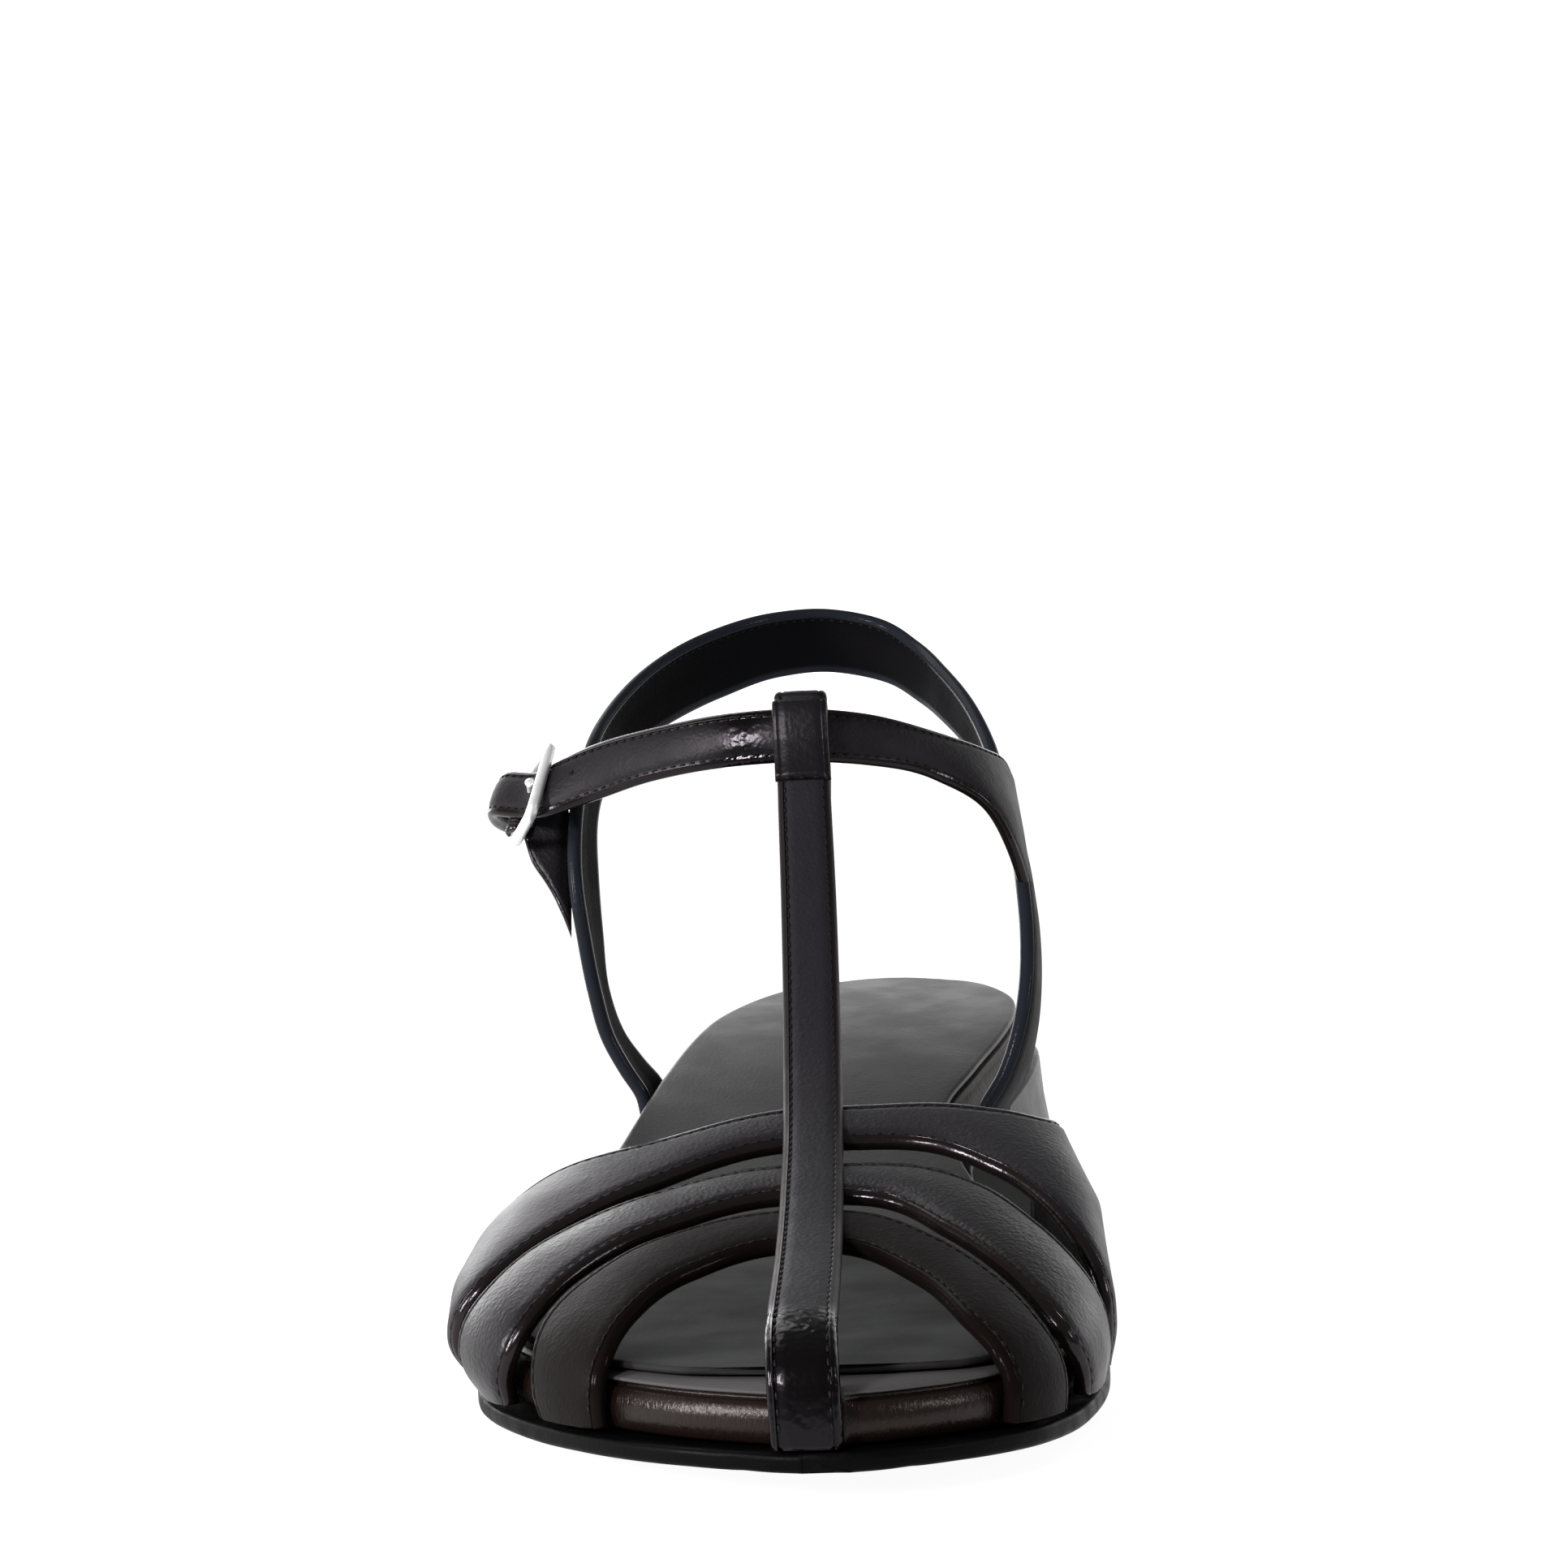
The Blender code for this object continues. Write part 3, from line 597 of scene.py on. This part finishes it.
def sewn(mesh, surface, share, inward, out, ends=(0.0, 1.0), pitch=STITCH_PITCH):
    """Adds a row of stitches along a strap, inward millimetres from its edge."""
    u = np.linspace(*ends, 400)
    v = share + inward / widths(surface, u)[:, 0]
    line = surface(u, v) + normals(surface, u, v) * out / 1000
    run = np.concatenate([[0.0], np.cumsum(np.linalg.norm(np.diff(line, axis=0), axis=1))]) * 1000
    count = int(run[-1] / pitch)
    spots = np.interp((np.arange(count) + 0.5) * run[-1] / count, run, u)
    edges = share + inward / widths(surface, spots)[:, 0]
    middles = surface(spots, edges) + normals(surface, spots, edges) * out / 1000
    outs = normals(surface, spots, edges)
    ahead = surface(spots + 1e-3, share + inward / widths(surface, spots + 1e-3)[:, 0])
    behind = surface(spots - 1e-3, share + inward / widths(surface, spots - 1e-3)[:, 0])
    for middle, up, run in zip(middles, outs, ahead - behind):
        run = Vector(run).normalized()
        up = Vector(up)
        side = up.cross(run).normalized()
        turn = Matrix((run, side, up)).transposed().to_4x4()
        size = Matrix.Diagonal((*(value / 1000 for value in STITCH_SIZE), 1.0))
        made = stitch.copy()
        made.transform(Matrix.Translation(Vector(middle)) @ turn @ size)
        mesh.from_mesh(made)
        bpy.data.meshes.remove(made)


def both_seams(mesh, surface, thick, ends=(0.0, 1.0), base=0.0, seam=SEAM_INSET):
    for share, inward in ((0.0, seam), (1.0, -seam)):
        sewn(mesh, surface, share, inward, base + thick - 0.08, ends)


def strap_leather(name, roughness, sheen, face=FACE_COLOUR, edge=EDGE_COLOUR, gloss=SHINE_ROUGHNESS):
    """Black folded leather: fine grain, glossier rolled edges, pebbles where shiny with the colour painted
    darker as shade, and a dull lining painted darker as shade.
    """
    look = Finish(name, Specular_IOR_Level=sheen, Specular_Tint=(1.0, 0.9, 1.0, 1.0))
    rim = look.mark("rim")
    lining = look.mark("lining")
    grain = look.cells(1700.0)
    creases = look.noise(600.0, 4.0, 0.6)
    relief = (grain * 0.5 + creases * 0.6) * (1.0 - rim * 0.6)
    gloss_and_shade = look.mark("gloss_and_shade")
    patches = look.noise(130.0, 3.0).step(0.3, 0.7)
    dull = patches * 0.08 + (roughness - 0.04) - rim * (roughness - gloss)
    dull = dull - gloss_and_shade * (roughness - SHINE_ROUGHNESS)
    look.bump(relief * (1.0 - gloss_and_shade * 0.7) + gloss_and_shade * (look.cells(1000.0) * 0.8), 0.00013)
    look.feed("Roughness", dull + lining * 0.25)
    # Glossy stretches get a darker colour, as painted shade.
    colour_with_painted_shade = gloss_and_shade.mix(rim.mix(face, edge), GLOSS_SHADE_COLOUR)
    # Inner faces take the lining colour, which is partly painted shade.
    look.feed("Base Color", lining.mix(colour_with_painted_shade, LINING_AND_SHADE_COLOUR))
    return look


# Painted light and shade: the bar, the cage straps and the ankle strap get copies of this leather with their
# own face colour and sheen, lighter or darker for how the light falls on each.
straps = strap_leather("strap_leather", 0.46, 0.34)
# Lining finish: dark leather, its colour partly painted shade inside the shoe.
inside = Finish("lining_and_shade_leather", Base_Color=LINING_AND_SHADE_COLOUR, Roughness=0.7, Specular_IOR_Level=0.06)
inside.bump(inside.noise(900.0, 3.0), 0.0001)
thread = Finish("black_thread", Base_Color=(0.002, 0.002, 0.002, 1.0), Roughness=0.6, Specular_IOR_Level=0.2)
thread.bump(thread.noise(2500.0, 2.0), 0.0001)

# The bar's copy is painted lighter, as painted light.
bar_leather = strap_leather("bar_leather", 0.54, 0.2, (0.012, 0.0113, 0.0142, 1.0), gloss=0.5)
bar_surface = barred(BAR_ROWS)
loop_surface = barred(LOOP_ROWS)
bar_end = np.linspace(0.8, 1.0, 200)
flap_foot = np.interp(FLAP_HEIGHT, by_length(BAR_COLUMNS, BAR_ROWS)["height"](bar_end), bar_end)


def flap_surface(u, v):
    """Loop's sewn-down end on the front of the bar, a little wider than it."""
    return bar_surface(u, (np.asarray(v) - 0.5) * FLAP_WIDER + 0.5)


def flap_across(u, v):
    """The flap turned square, so that its seam runs across it."""
    return flap_surface(flap_foot + v, u)


def flap_gloss_and_shade(u):
    return np.full_like(u, FLAP_GLOSS_AND_SHADE)


def toe_gloss_and_shade(u):
    """Gloss of the bar's end over the toe, where its colour is also painted darker as shade."""
    return faded(bar_surface(u, 0.5)[..., 1] * 1000 + HEEL_CENTRE, *TOE_GLOSS_AND_SHADE)


mesh = bmesh.new()
ribbon(mesh, bar_surface, STRAP_THICK, 220, seam=BAR_SEAM, dome=0.15, gloss_and_shade=toe_gloss_and_shade)
ribbon(mesh, loop_surface, LOOP_THICK, 60, seam=BAR_SEAM, dome=0.1)
flap_ends = (flap_foot, 0.985)
ribbon(mesh, flap_surface, FLAP_THICK, 60, FLAP_BASE, FLAP_SEAM, 0.15, flap_ends, 1.2, flap_gloss_and_shade)
both_seams(mesh, bar_surface, STRAP_THICK, (0.01, 0.93), seam=BAR_SEAM)
sewn(mesh, flap_across, 0.0, 0.0, -FLAP_BASE - FLAP_THICK, (0.12, 0.88))
t_bar = finished("t_bar", mesh, bar_leather.material, thread.material, inside.material)
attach(t_bar, "root")
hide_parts("upper")

# Cage straps: three folded straps that arch over the forefoot, from one edge of the sole to the other.
# They pass under the T-bar, sewn to it, and their feet are glued between footbed and sole.
WALL_SHARE = 0.027
STRAP_CLEAR = 0.9
FOOT_CLEAR = 0.85
SINK = 0.25
CAGE_COLUMNS = ("share", "front", "rear")
CAGE_ROWS = {
    "front_strap": (
        (0.0, 17.0, 29.5),
        (0.1, 17.4, 30.9),
        (0.2, 19.9, 35.1),
        (0.3, 25.9, 41.2),
        (0.4, 35.6, 50.0),
        (0.5, 43.2, 55.2),
        (0.6, 31.8, 45.2),
        (0.7, 19.6, 35.0),
        (0.8, 14.4, 27.6),
        (0.9, 12.6, 24.7),
        (1.0, 12.0, 24.4),
    ),
    "middle_strap": (
        (0.0, 39.0, 52.0),
        (0.1, 36.3, 50.8),
        (0.2, 38.0, 51.9),
        (0.3, 44.5, 58.3),
        (0.4, 53.6, 65.7),
        (0.5, 60.7, 71.8),
        (0.6, 49.0, 64.7),
        (0.7, 38.7, 55.9),
        (0.8, 31.2, 49.7),
        (0.9, 29.8, 47.7),
        (1.0, 34.5, 49.0),
    ),
    "rear_strap": (
        (0.0, 55.0, 77.0),
        (0.1, 53.2, 77.5),
        (0.2, 53.5, 79.0),
        (0.3, 60.0, 82.9),
        (0.4, 69.5, 83.4),
        (0.5, 79.0, 89.0),
        (0.6, 71.3, 88.3),
        (0.7, 62.9, 89.2),
        (0.8, 55.8, 95.5),
        (0.9, 52.5, 104.5),
        (1.0, 53.0, 112.0),
    ),
}
FORM_COLUMNS = ("from_toe", "outer_power", "inner_power", "outer_swell", "inner_swell", "wall")
FORM_ROWS = (
    (5.0, 2.3, 2.3, 0.0, 0.0, 2.9),
    (25.0, 2.3, 2.3, 0.4, 0.3, 3.3),
    (40.0, 2.3, 2.5, 1.5, 0.9, 4.6),
    (55.0, 2.3, 3.0, 3.8, 1.1, 6.4),
    (75.0, 2.6, 4.6, 3.2, 0.9, 7.5),
    (95.0, 2.6, 6.0, 2.6, 1.0, 7.5),
)
flat_bar = columns(BAR_COLUMNS, BAR_ROWS[3:13])
ridge_height = curve(flat_bar["from_toe"], flat_bar["height"])
ridge_x = curve(flat_bar["from_toe"], flat_bar["x"])
form_columns = columns(FORM_COLUMNS, FORM_ROWS)
form = {name: curve(form_columns["from_toe"], form_columns[name]) for name in FORM_COLUMNS[1:]}


def arch(from_toe, share):
    """Inner face of the cage at a length from the toe, share 0 and 1 at the sole's edges."""
    half = np.abs(2 * share - 1)
    outer = share < 0.5
    sign = np.where(outer, -1.0, 1.0)
    slope = (ridge_height(from_toe + 1) - ridge_height(from_toe - 1)) / 2
    top = ridge_height(from_toe) - (STRAP_THICK - SINK) * np.hypot(1, slope)
    foot = under_at(from_toe) + FOOTBED_BASE + FOOT_CLEAR
    row = row_at(from_toe)
    edge = np.where(outer, sole["outer"](row), sole["inner"](row)) + sign * STRAP_CLEAR
    wall = form["wall"](from_toe)
    wall_share = wall * WALL_SHARE
    up = np.clip((1 - half) / wall_share, 0, 1)
    turn = np.clip((1 - half - wall_share) / (1 - wall_share), 0, 1) * np.pi / 2
    power = np.where(outer, form["outer_power"](from_toe), form["inner_power"](from_toe))
    swell = np.where(outer, form["outer_swell"](from_toe), form["inner_swell"](from_toe))
    wide = edge + sign * swell * np.sin(up * np.pi / 2) ** 1.4 - ridge_x(from_toe)
    x = ridge_x(from_toe) + wide * np.maximum(np.cos(turn), 0.0) ** (2 / power)
    height = foot + wall * up + (top - foot - wall) * np.sin(turn) ** (2 / power)
    return place(x, from_toe, height)


def caged(rows):
    """Surface of a cage strap between its front and rear edges."""
    at = columns(CAGE_COLUMNS, rows)
    front = curve(at["share"], at["front"])
    rear = curve(at["share"], at["rear"])

    def surface(u, v):
        u, v = np.broadcast_arrays(u, v)
        u = np.clip(u, 0.0, 1.0)
        return arch(front(u) + (rear(u) - front(u)) * v, u)

    return surface


# The front and middle straps' copies are set darker with their own colour and sheen, as painted shade.
toe_leather = strap_leather("toe_leather", 0.52, 0.03, (0.009, 0.0072, 0.0072, 1.0))
middle_leather = strap_leather("middle_leather", 0.38, 0.28, (0.005, 0.0045, 0.005, 1.0))
cage_looks = {"front_strap": toe_leather, "middle_strap": middle_leather, "rear_strap": straps}
for strap_name, strap_rows in CAGE_ROWS.items():
    cage_surface = caged(strap_rows)
    mesh = bmesh.new()
    ribbon(mesh, cage_surface, STRAP_THICK, 200)
    both_seams(mesh, cage_surface, STRAP_THICK, (0.02, 0.98))
    look = cage_looks[strap_name]
    strap = finished(strap_name, mesh, look.material, thread.material, inside.material)
    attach(strap, "root")
    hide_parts("upper")

# Heel sling: lined band from the outer waist up round the back of the heel and down to the inner waist.
# Its edges are turned and sewn, its lining has a seam of its own, and its two legs are glued between
# footbed and sole.
SLING_THICK = 2.1
EDGE_COLUMNS = ("top_x", "top_from_toe", "top_height", "low_x", "low_from_toe", "low_height")
SLING_ROWS = (
    (-39.4, 164.0, 23.4, -37.2, 177.0, 26.2),
    (-40.3, 164.0, 28.6, -38.3, 177.5, 29.8),
    (-43.2, 164.0, 33.8, -41.6, 178.0, 33.8),
    (-46.0, 164.0, 39.7, -45.0, 178.0, 38.8),
    (-47.9, 164.0, 47.8, -47.5, 178.0, 46.8),
    (-49.5, 164.0, 57.6, -48.2, 178.5, 57.0),
    (-50.9, 165.5, 68.7, -48.7, 180.0, 67.4),
    (-50.8, 171.0, 81.0, -49.0, 184.0, 77.0),
    (-49.0, 181.0, 92.0, -47.8, 191.5, 84.0),
    (-46.4, 196.0, 99.6, -44.2, 203.5, 90.3),
    (-40.8, 209.5, 106.5, -37.5, 215.5, 95.0),
    (-30.3, 224.4, 112.8, -28.3, 229.3, 99.5),
    (-17.6, 234.2, 116.2, -17.2, 238.2, 103.0),
    (-7.6, 238.2, 116.5, -7.6, 241.9, 103.5),
    (2.6, 237.0, 114.1, 3.2, 239.6, 101.0),
    (9.6, 230.4, 109.3, 10.2, 231.8, 96.6),
    (14.6, 220.4, 104.2, 15.2, 221.4, 92.3),
    (19.4, 209.0, 98.0, 20.2, 210.0, 86.5),
    (23.2, 196.5, 89.8, 24.6, 199.5, 77.5),
    (25.4, 184.0, 80.0, 27.6, 190.0, 68.0),
    (27.4, 172.0, 72.5, 29.3, 181.0, 60.0),
    (28.3, 163.5, 65.0, 30.0, 174.0, 52.5),
    (28.7, 158.0, 56.5, 29.8, 169.0, 45.0),
    (28.2, 154.0, 48.5, 28.9, 165.5, 38.0),
    (26.6, 151.0, 40.5, 27.2, 164.0, 31.5),
    (23.8, 149.3, 33.0, 25.8, 163.0, 29.4),
    (19.2, 148.0, 25.4, 24.0, 162.3, 26.4),
    (17.8, 147.6, 19.6, 23.4, 162.0, 23.6),
)


def edged(rows):
    """Surface of a strap between its two edges."""
    at = by_length(EDGE_COLUMNS, rows)

    def surface(u, v):
        u, v = np.broadcast_arrays(u, v)
        top = place(at["top_x"](u), at["top_from_toe"](u), at["top_height"](u))
        low = place(at["low_x"](u), at["low_from_toe"](u), at["low_height"](u))
        return top + (low - top) * v[..., None]

    return surface


sling_leather = strap_leather("sling_leather", 0.55, 0.05, edge=(0.014, 0.016, 0.021, 1.0))
sling_surface = edged(SLING_ROWS)
mesh = bmesh.new()
ribbon(mesh, sling_surface, SLING_THICK, 240)
both_seams(mesh, sling_surface, SLING_THICK, (0.02, 0.98))
sewn(mesh, sling_surface, 0.0, 2.2, 0.0, (0.02, 0.98))
sewn(mesh, sling_surface, 1.0, -0.3, SLING_THICK - 0.4, (0.6, 0.98))
sling = finished("heel_sling", mesh, sling_leather.material, thread.material, sling_leather.material)
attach(sling, "root")
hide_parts("upper")

# Ankle strap: sewn to the inner leg, passed through the T-bar's loop and buckled on the outer side.
# Its leather is crinkled and shiny beside the loop, with its colour painted darker there, and one hole shows
# in front of the buckle.
ANKLE_SEAM = 1.4
HOLE_OUT = 50.5
HOLE_SIDES = (0.39, 0.43)
HOLE_HALF = 0.003
CRINKLE_OUT = 18.0
CRINKLE_WIDE = 6.0
ANKLE_ROWS = (
    (28.8, 190.0, 79.5, 31.8, 171.5, 55.5),
    (28.0, 184.5, 84.4, 30.8, 164.5, 62.5),
    (26.6, 178.5, 87.2, 28.6, 160.5, 70.5),
    (23.8, 172.0, 88.9, 25.4, 158.5, 77.4),
    (15.9, 160.5, 92.4, 15.7, 154.6, 84.2),
    (3.6, 149.8, 96.3, 3.3, 147.2, 87.4),
    (-8.0, 145.0, 97.7, -8.4, 143.0, 88.4),
    (-20.1, 146.5, 97.4, -20.4, 144.5, 88.1),
    (-35.2, 153.5, 95.3, -35.5, 151.0, 86.0),
    (-48.3, 162.4, 92.2, -48.6, 158.8, 82.3),
    (-54.0, 166.5, 90.0, -56.2, 161.6, 80.4),
    (-58.2, 171.4, 88.2, -61.3, 166.4, 80.2),
    (-65.0, 177.3, 88.2, -68.0, 173.0, 80.4),
    (-66.9, 185.5, 86.0, -69.0, 181.5, 77.6),
    (-64.6, 194.5, 83.2, -66.2, 191.5, 75.2),
    (-59.8, 203.5, 80.0, -60.8, 202.0, 74.6),
)
# The ankle strap's copy is painted darker, as painted shade.
ankle_leather = strap_leather("ankle_leather", 0.56, 0.21, (0.005, 0.0045, 0.0053, 1.0))
ankle_surface = edged(ANKLE_ROWS)


def crinkled(u):
    """Gloss of the crinkled leather on the outer side of the loop, where its colour is also painted darker.
    """
    return np.exp(-(((ankle_surface(u, 0.5)[..., 0] * 1000 + CRINKLE_OUT) / CRINKLE_WIDE) ** 2))


mesh = bmesh.new()
ribbon(mesh, ankle_surface, STRAP_THICK, 220, -STRAP_THICK, ANKLE_SEAM, nose=9.0, gloss_and_shade=crinkled)
both_seams(mesh, ankle_surface, STRAP_THICK, (0.09, 0.98), -STRAP_THICK, ANKLE_SEAM)
outer_u = np.linspace(0.4, 0.9, 80)
hole_u = np.interp(HOLE_OUT, -ankle_surface(outer_u, 0.5)[:, 0] * 1000, outer_u)
for hole_side in HOLE_SIDES:
    sewn(mesh, ankle_surface, hole_side, 0.0, 0.42, (hole_u - HOLE_HALF, hole_u + HOLE_HALF), 0.7)
ankle = finished("ankle_strap", mesh, ankle_leather.material, thread.material, inside.material)
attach(ankle, "root")
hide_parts("upper")

# Buckle frame: polished steel wire bent into a rounded rectangle.
# The tab is folded round its rear bar, and the ankle strap runs through it.
BUCKLE_HEIGHT = 15.2
BUCKLE_LENGTH = 12.5
BUCKLE_CORNER = 2.0
WIRE = 0.8
WIRE_SHOWN = 1.04
BUCKLE_FRONT = Vector((-56.5, 164.2, 86.5))
BUCKLE_DOWN = Vector((-0.192, -0.568, -0.800)).normalized()
BUCKLE_BACK = Vector((-0.400, 0.790, -0.465)).normalized()
BUCKLE_OUT = BUCKLE_BACK.cross(BUCKLE_DOWN).normalized()


def framed(back, down, out):
    """Point of the buckle from the middle of its front bar."""
    spot = BUCKLE_FRONT + BUCKLE_BACK * back + BUCKLE_DOWN * down + BUCKLE_OUT * out
    return place(*spot)


def tube(mesh, path, radii, closed=False):
    """Adds a round wire along a path."""
    path = np.array(path)
    count = len(path)
    ahead = np.roll(path, -1, axis=0) if closed else path[np.minimum(np.arange(count) + 1, count - 1)]
    behind = np.roll(path, 1, axis=0) if closed else path[np.maximum(np.arange(count) - 1, 0)]
    run = ahead - behind
    run /= np.linalg.norm(run, axis=1, keepdims=True)
    side = np.cross(run, np.array(BUCKLE_OUT + BUCKLE_DOWN * 0.01))
    side /= np.linalg.norm(side, axis=1, keepdims=True)
    up = np.cross(side, run)
    turns = np.radians(np.arange(0, 360, 22.5))
    ring = np.cos(turns)[:, None] * side[:, None, :] + np.sin(turns)[:, None] * up[:, None, :]
    points = path[:, None, :] + ring * np.broadcast_to(radii, count)[:, None, None] / 1000
    if closed:
        points = np.concatenate((points, points[:1]))
    skinned(mesh, points)


frame_corners = (
    (BUCKLE_CORNER, BUCKLE_CORNER - BUCKLE_HEIGHT / 2, 180),
    (BUCKLE_LENGTH - BUCKLE_CORNER, BUCKLE_CORNER - BUCKLE_HEIGHT / 2, 270),
    (BUCKLE_LENGTH - BUCKLE_CORNER, BUCKLE_HEIGHT / 2 - BUCKLE_CORNER, 0),
    (BUCKLE_CORNER, BUCKLE_HEIGHT / 2 - BUCKLE_CORNER, 90),
)
frame_path = [
    framed(back + BUCKLE_CORNER * np.cos(turn), down + BUCKLE_CORNER * np.sin(turn), 0.0)
    for back, down, start in frame_corners
    for turn in np.radians(np.linspace(start, start + 90, 9))
]
steel = Finish("frame_steel", Base_Color=(0.93, 0.93, 0.93, 1.0), Metallic=0.6)
steel.feed("Roughness", steel.noise(900.0, 3.0).step(0.3, 0.7) * 0.1 + 0.3)
steel.bump(steel.noise(700.0, 2.0), 0.00004)
mesh = bmesh.new()
tube(mesh, frame_path, WIRE_SHOWN, True)
buckle_frame = finished("buckle_wire", mesh, steel.material)
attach(buckle_frame, "root")
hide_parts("buckle_frame")

# Prong: polished steel wire hooked round the frame's rear bar and through a hole in the strap.
# Its rounded tip rests on the strap's face.
PRONG_WIRE = 0.7
PRONG_TIP = (2.0, 1.6)
hook = WIRE + GAP + PRONG_WIRE + 0.05
prong_path = [
    framed(BUCKLE_LENGTH + hook * np.sin(turn), 0.0, -hook * np.cos(turn))
    for turn in np.radians((130, 115, 100, 85, 70, 50, 30, 15, 0))
]
prong_path += [
    prong_path[-1] + (framed(PRONG_TIP[0], 0.0, PRONG_TIP[1]) - prong_path[-1]) * share
    for share in (0.25, 0.5, 0.75, 0.9, 0.97, 1.0)
]
prong_radii = PRONG_WIRE * np.array((0.6, 0.9, 1, 1, 1, 1, 1, 1, 1, 1, 1, 1, 1, 1.4, 0.8))
mesh = bmesh.new()
tube(mesh, prong_path, prong_radii)
buckle_prong = finished("prong", mesh, steel.material)
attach(buckle_prong, "root")
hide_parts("buckle_prong")

# Buckle tab: thin leather sewn to the outer leg, folded round the rear bar and slotted for the prong.
# It hangs from the frame down to the leg behind the ankle strap.
TAB_THICK = 1.0
TAB_WIDTH = 11.2
TAB_SEAM = 0.9
SLOT_START = 0.62
TAB_ROWS = (
    (-53.1, 176.0, 75.5, -52.5, 166.5, 57.5),
    (-53.9, 176.5, 80.5, -54.4, 167.4, 62.0),
    (-55.7, 177.0, 85.0, -57.4, 169.0, 67.6),
    (-57.4, 177.3, 85.5, -59.9, 170.2, 71.4),
)
tab_rows = list(TAB_ROWS)
fold = WIRE + GAP + TAB_THICK / 2 + 0.12
for turn in np.radians((0, 40, 80, 120, 160, 200, 230)):
    tab_back = BUCKLE_LENGTH - fold * np.sin(turn)
    tab_edges = [framed(tab_back, side * TAB_WIDTH / 2, -fold * np.cos(turn)) * 1000 for side in (-1, 1)]
    tab_rows.append([value for x, y, z in tab_edges for value in (x, y + HEEL_CENTRE, z)])
tab_surface = edged(tab_rows)


def lane(start, end):
    """Strip of the tab beside its slot."""

    def surface(u, v):
        return tab_surface(u, start + (end - start) * np.asarray(v))

    return surface


mesh = bmesh.new()
ribbon(mesh, tab_surface, TAB_THICK, 40, -TAB_THICK / 2, TAB_SEAM, 0.0, (0.0, SLOT_START), 3.0)
for sides in ((0.0, 1 / 3), (2 / 3, 1.0)):
    ribbon(mesh, lane(*sides), TAB_THICK, 60, -TAB_THICK / 2, TAB_SEAM, 0.0, (SLOT_START - 0.01, 1.0))
buckle_tab = finished("tab", mesh, straps.material, thread.material, inside.material)
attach(buckle_tab, "root")
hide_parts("buckle_tab")

# Studio: pale floor, dimmer out in front of the toe, soft boxes round the shoe and a bright low back.
# The camera stands low in front of the toe.
FLOOR_SIZE = 6.0
FLOOR_FADE = (-45.0, 22.0)
WHITE = (1.0, 1.0, 1.0, 1.0)
GREY = (0.16, 0.16, 0.16, 1.0)
AIM = Vector((0.0, -0.1, 0.04))
mesh = bmesh.new()
bmesh.ops.create_grid(mesh, x_segments=1, y_segments=1, size=FLOOR_SIZE / 2)
# The floor glows as painted light: white behind, and grey out in front of the toe.
paper = Finish("paper", Base_Color=(0.12, 0.12, 0.12, 1.0), Roughness=0.9, Emission_Strength=0.95)
paper.feed("Emission Color", paper.before(*FLOOR_FADE).mix(WHITE, GREY))
floor = finished("floor", mesh, paper.material)

world = bpy.data.worlds.new("studio")
world.use_nodes = True
sky = Shade(world.node_tree)
sight = sky.node("ShaderNodeTexCoord")
height = sky.node("ShaderNodeSeparateXYZ", {}, {"Vector": sight}, 2)
depth = sky.node("ShaderNodeSeparateXYZ", {}, {"Vector": sight}, 1)
low = 1.0 - height.step(0.2, 0.65)
glow = low * depth.step(0.0, 0.6) * 1.6 + 0.2
seen = sky.node("ShaderNodeLightPath")
backdrop = world.node_tree.nodes["Background"]
backdrop.inputs["Color"].default_value = WHITE
world.node_tree.links.new(sky.maths("MAXIMUM", glow, seen).socket, backdrop.inputs["Strength"])
bpy.context.scene.world = world
bpy.context.scene.view_settings.view_transform = "Standard"


def softbox(name, spot, wide, high, glow):
    """Adds a rectangular light that looks at the shoe, with glow its brightness as seen in a mirror."""
    data = bpy.data.lights.new(name, "AREA")
    data.shape = "RECTANGLE"
    data.size = wide
    data.size_y = high
    data.energy = glow * np.pi * wide * high
    made = bpy.data.objects.new(name, data)
    bpy.context.scene.collection.objects.link(made)
    made.location = spot
    made.rotation_euler = (AIM - Vector(spot)).to_track_quat("-Z", "Y").to_euler()
    made.visible_camera = False


softbox("left_box", (-0.85, -0.47, 0.28), 0.14, 0.26, 60.0)
softbox("right_box", (0.9, -0.45, 0.4), 0.12, 0.16, 22.0)
softbox("front_box", (-0.58, -1.0, 0.48), 0.2, 0.2, 80.0)
softbox("back_box", (-0.5, 0.75, 0.25), 0.6, 0.4, 3.2)
softbox("top_box", (-0.35, 0.4, 0.65), 0.5, 0.5, 1.9)

CAMERA_SPOT = Vector((0.0244, -0.559, 0.102))
CAMERA_YAW, CAMERA_PITCH, CAMERA_ROLL = np.radians((-4.1, -2.0, -2.5))
PHOTO_SIZE = 1932
FOCAL_PIXELS = 3566.0
level_right = Vector((np.cos(CAMERA_YAW), -np.sin(CAMERA_YAW), 0.0))
forward = Vector((
    np.sin(CAMERA_YAW) * np.cos(CAMERA_PITCH),
    np.cos(CAMERA_YAW) * np.cos(CAMERA_PITCH),
    np.sin(CAMERA_PITCH),
))
level_up = level_right.cross(forward)
right = level_right * np.cos(CAMERA_ROLL) + level_up * np.sin(CAMERA_ROLL)
camera_up = level_up * np.cos(CAMERA_ROLL) - level_right * np.sin(CAMERA_ROLL)
camera_data = bpy.data.cameras.new("camera")
camera_data.sensor_width = 36.0
camera_data.lens = FOCAL_PIXELS / PHOTO_SIZE * camera_data.sensor_width
camera_data.clip_start = 0.01
camera = bpy.data.objects.new("camera", camera_data)
bpy.context.scene.collection.objects.link(camera)
camera.matrix_world = Matrix((right, camera_up, -forward)).transposed().to_4x4()
camera.location = CAMERA_SPOT
bpy.context.scene.camera = camera
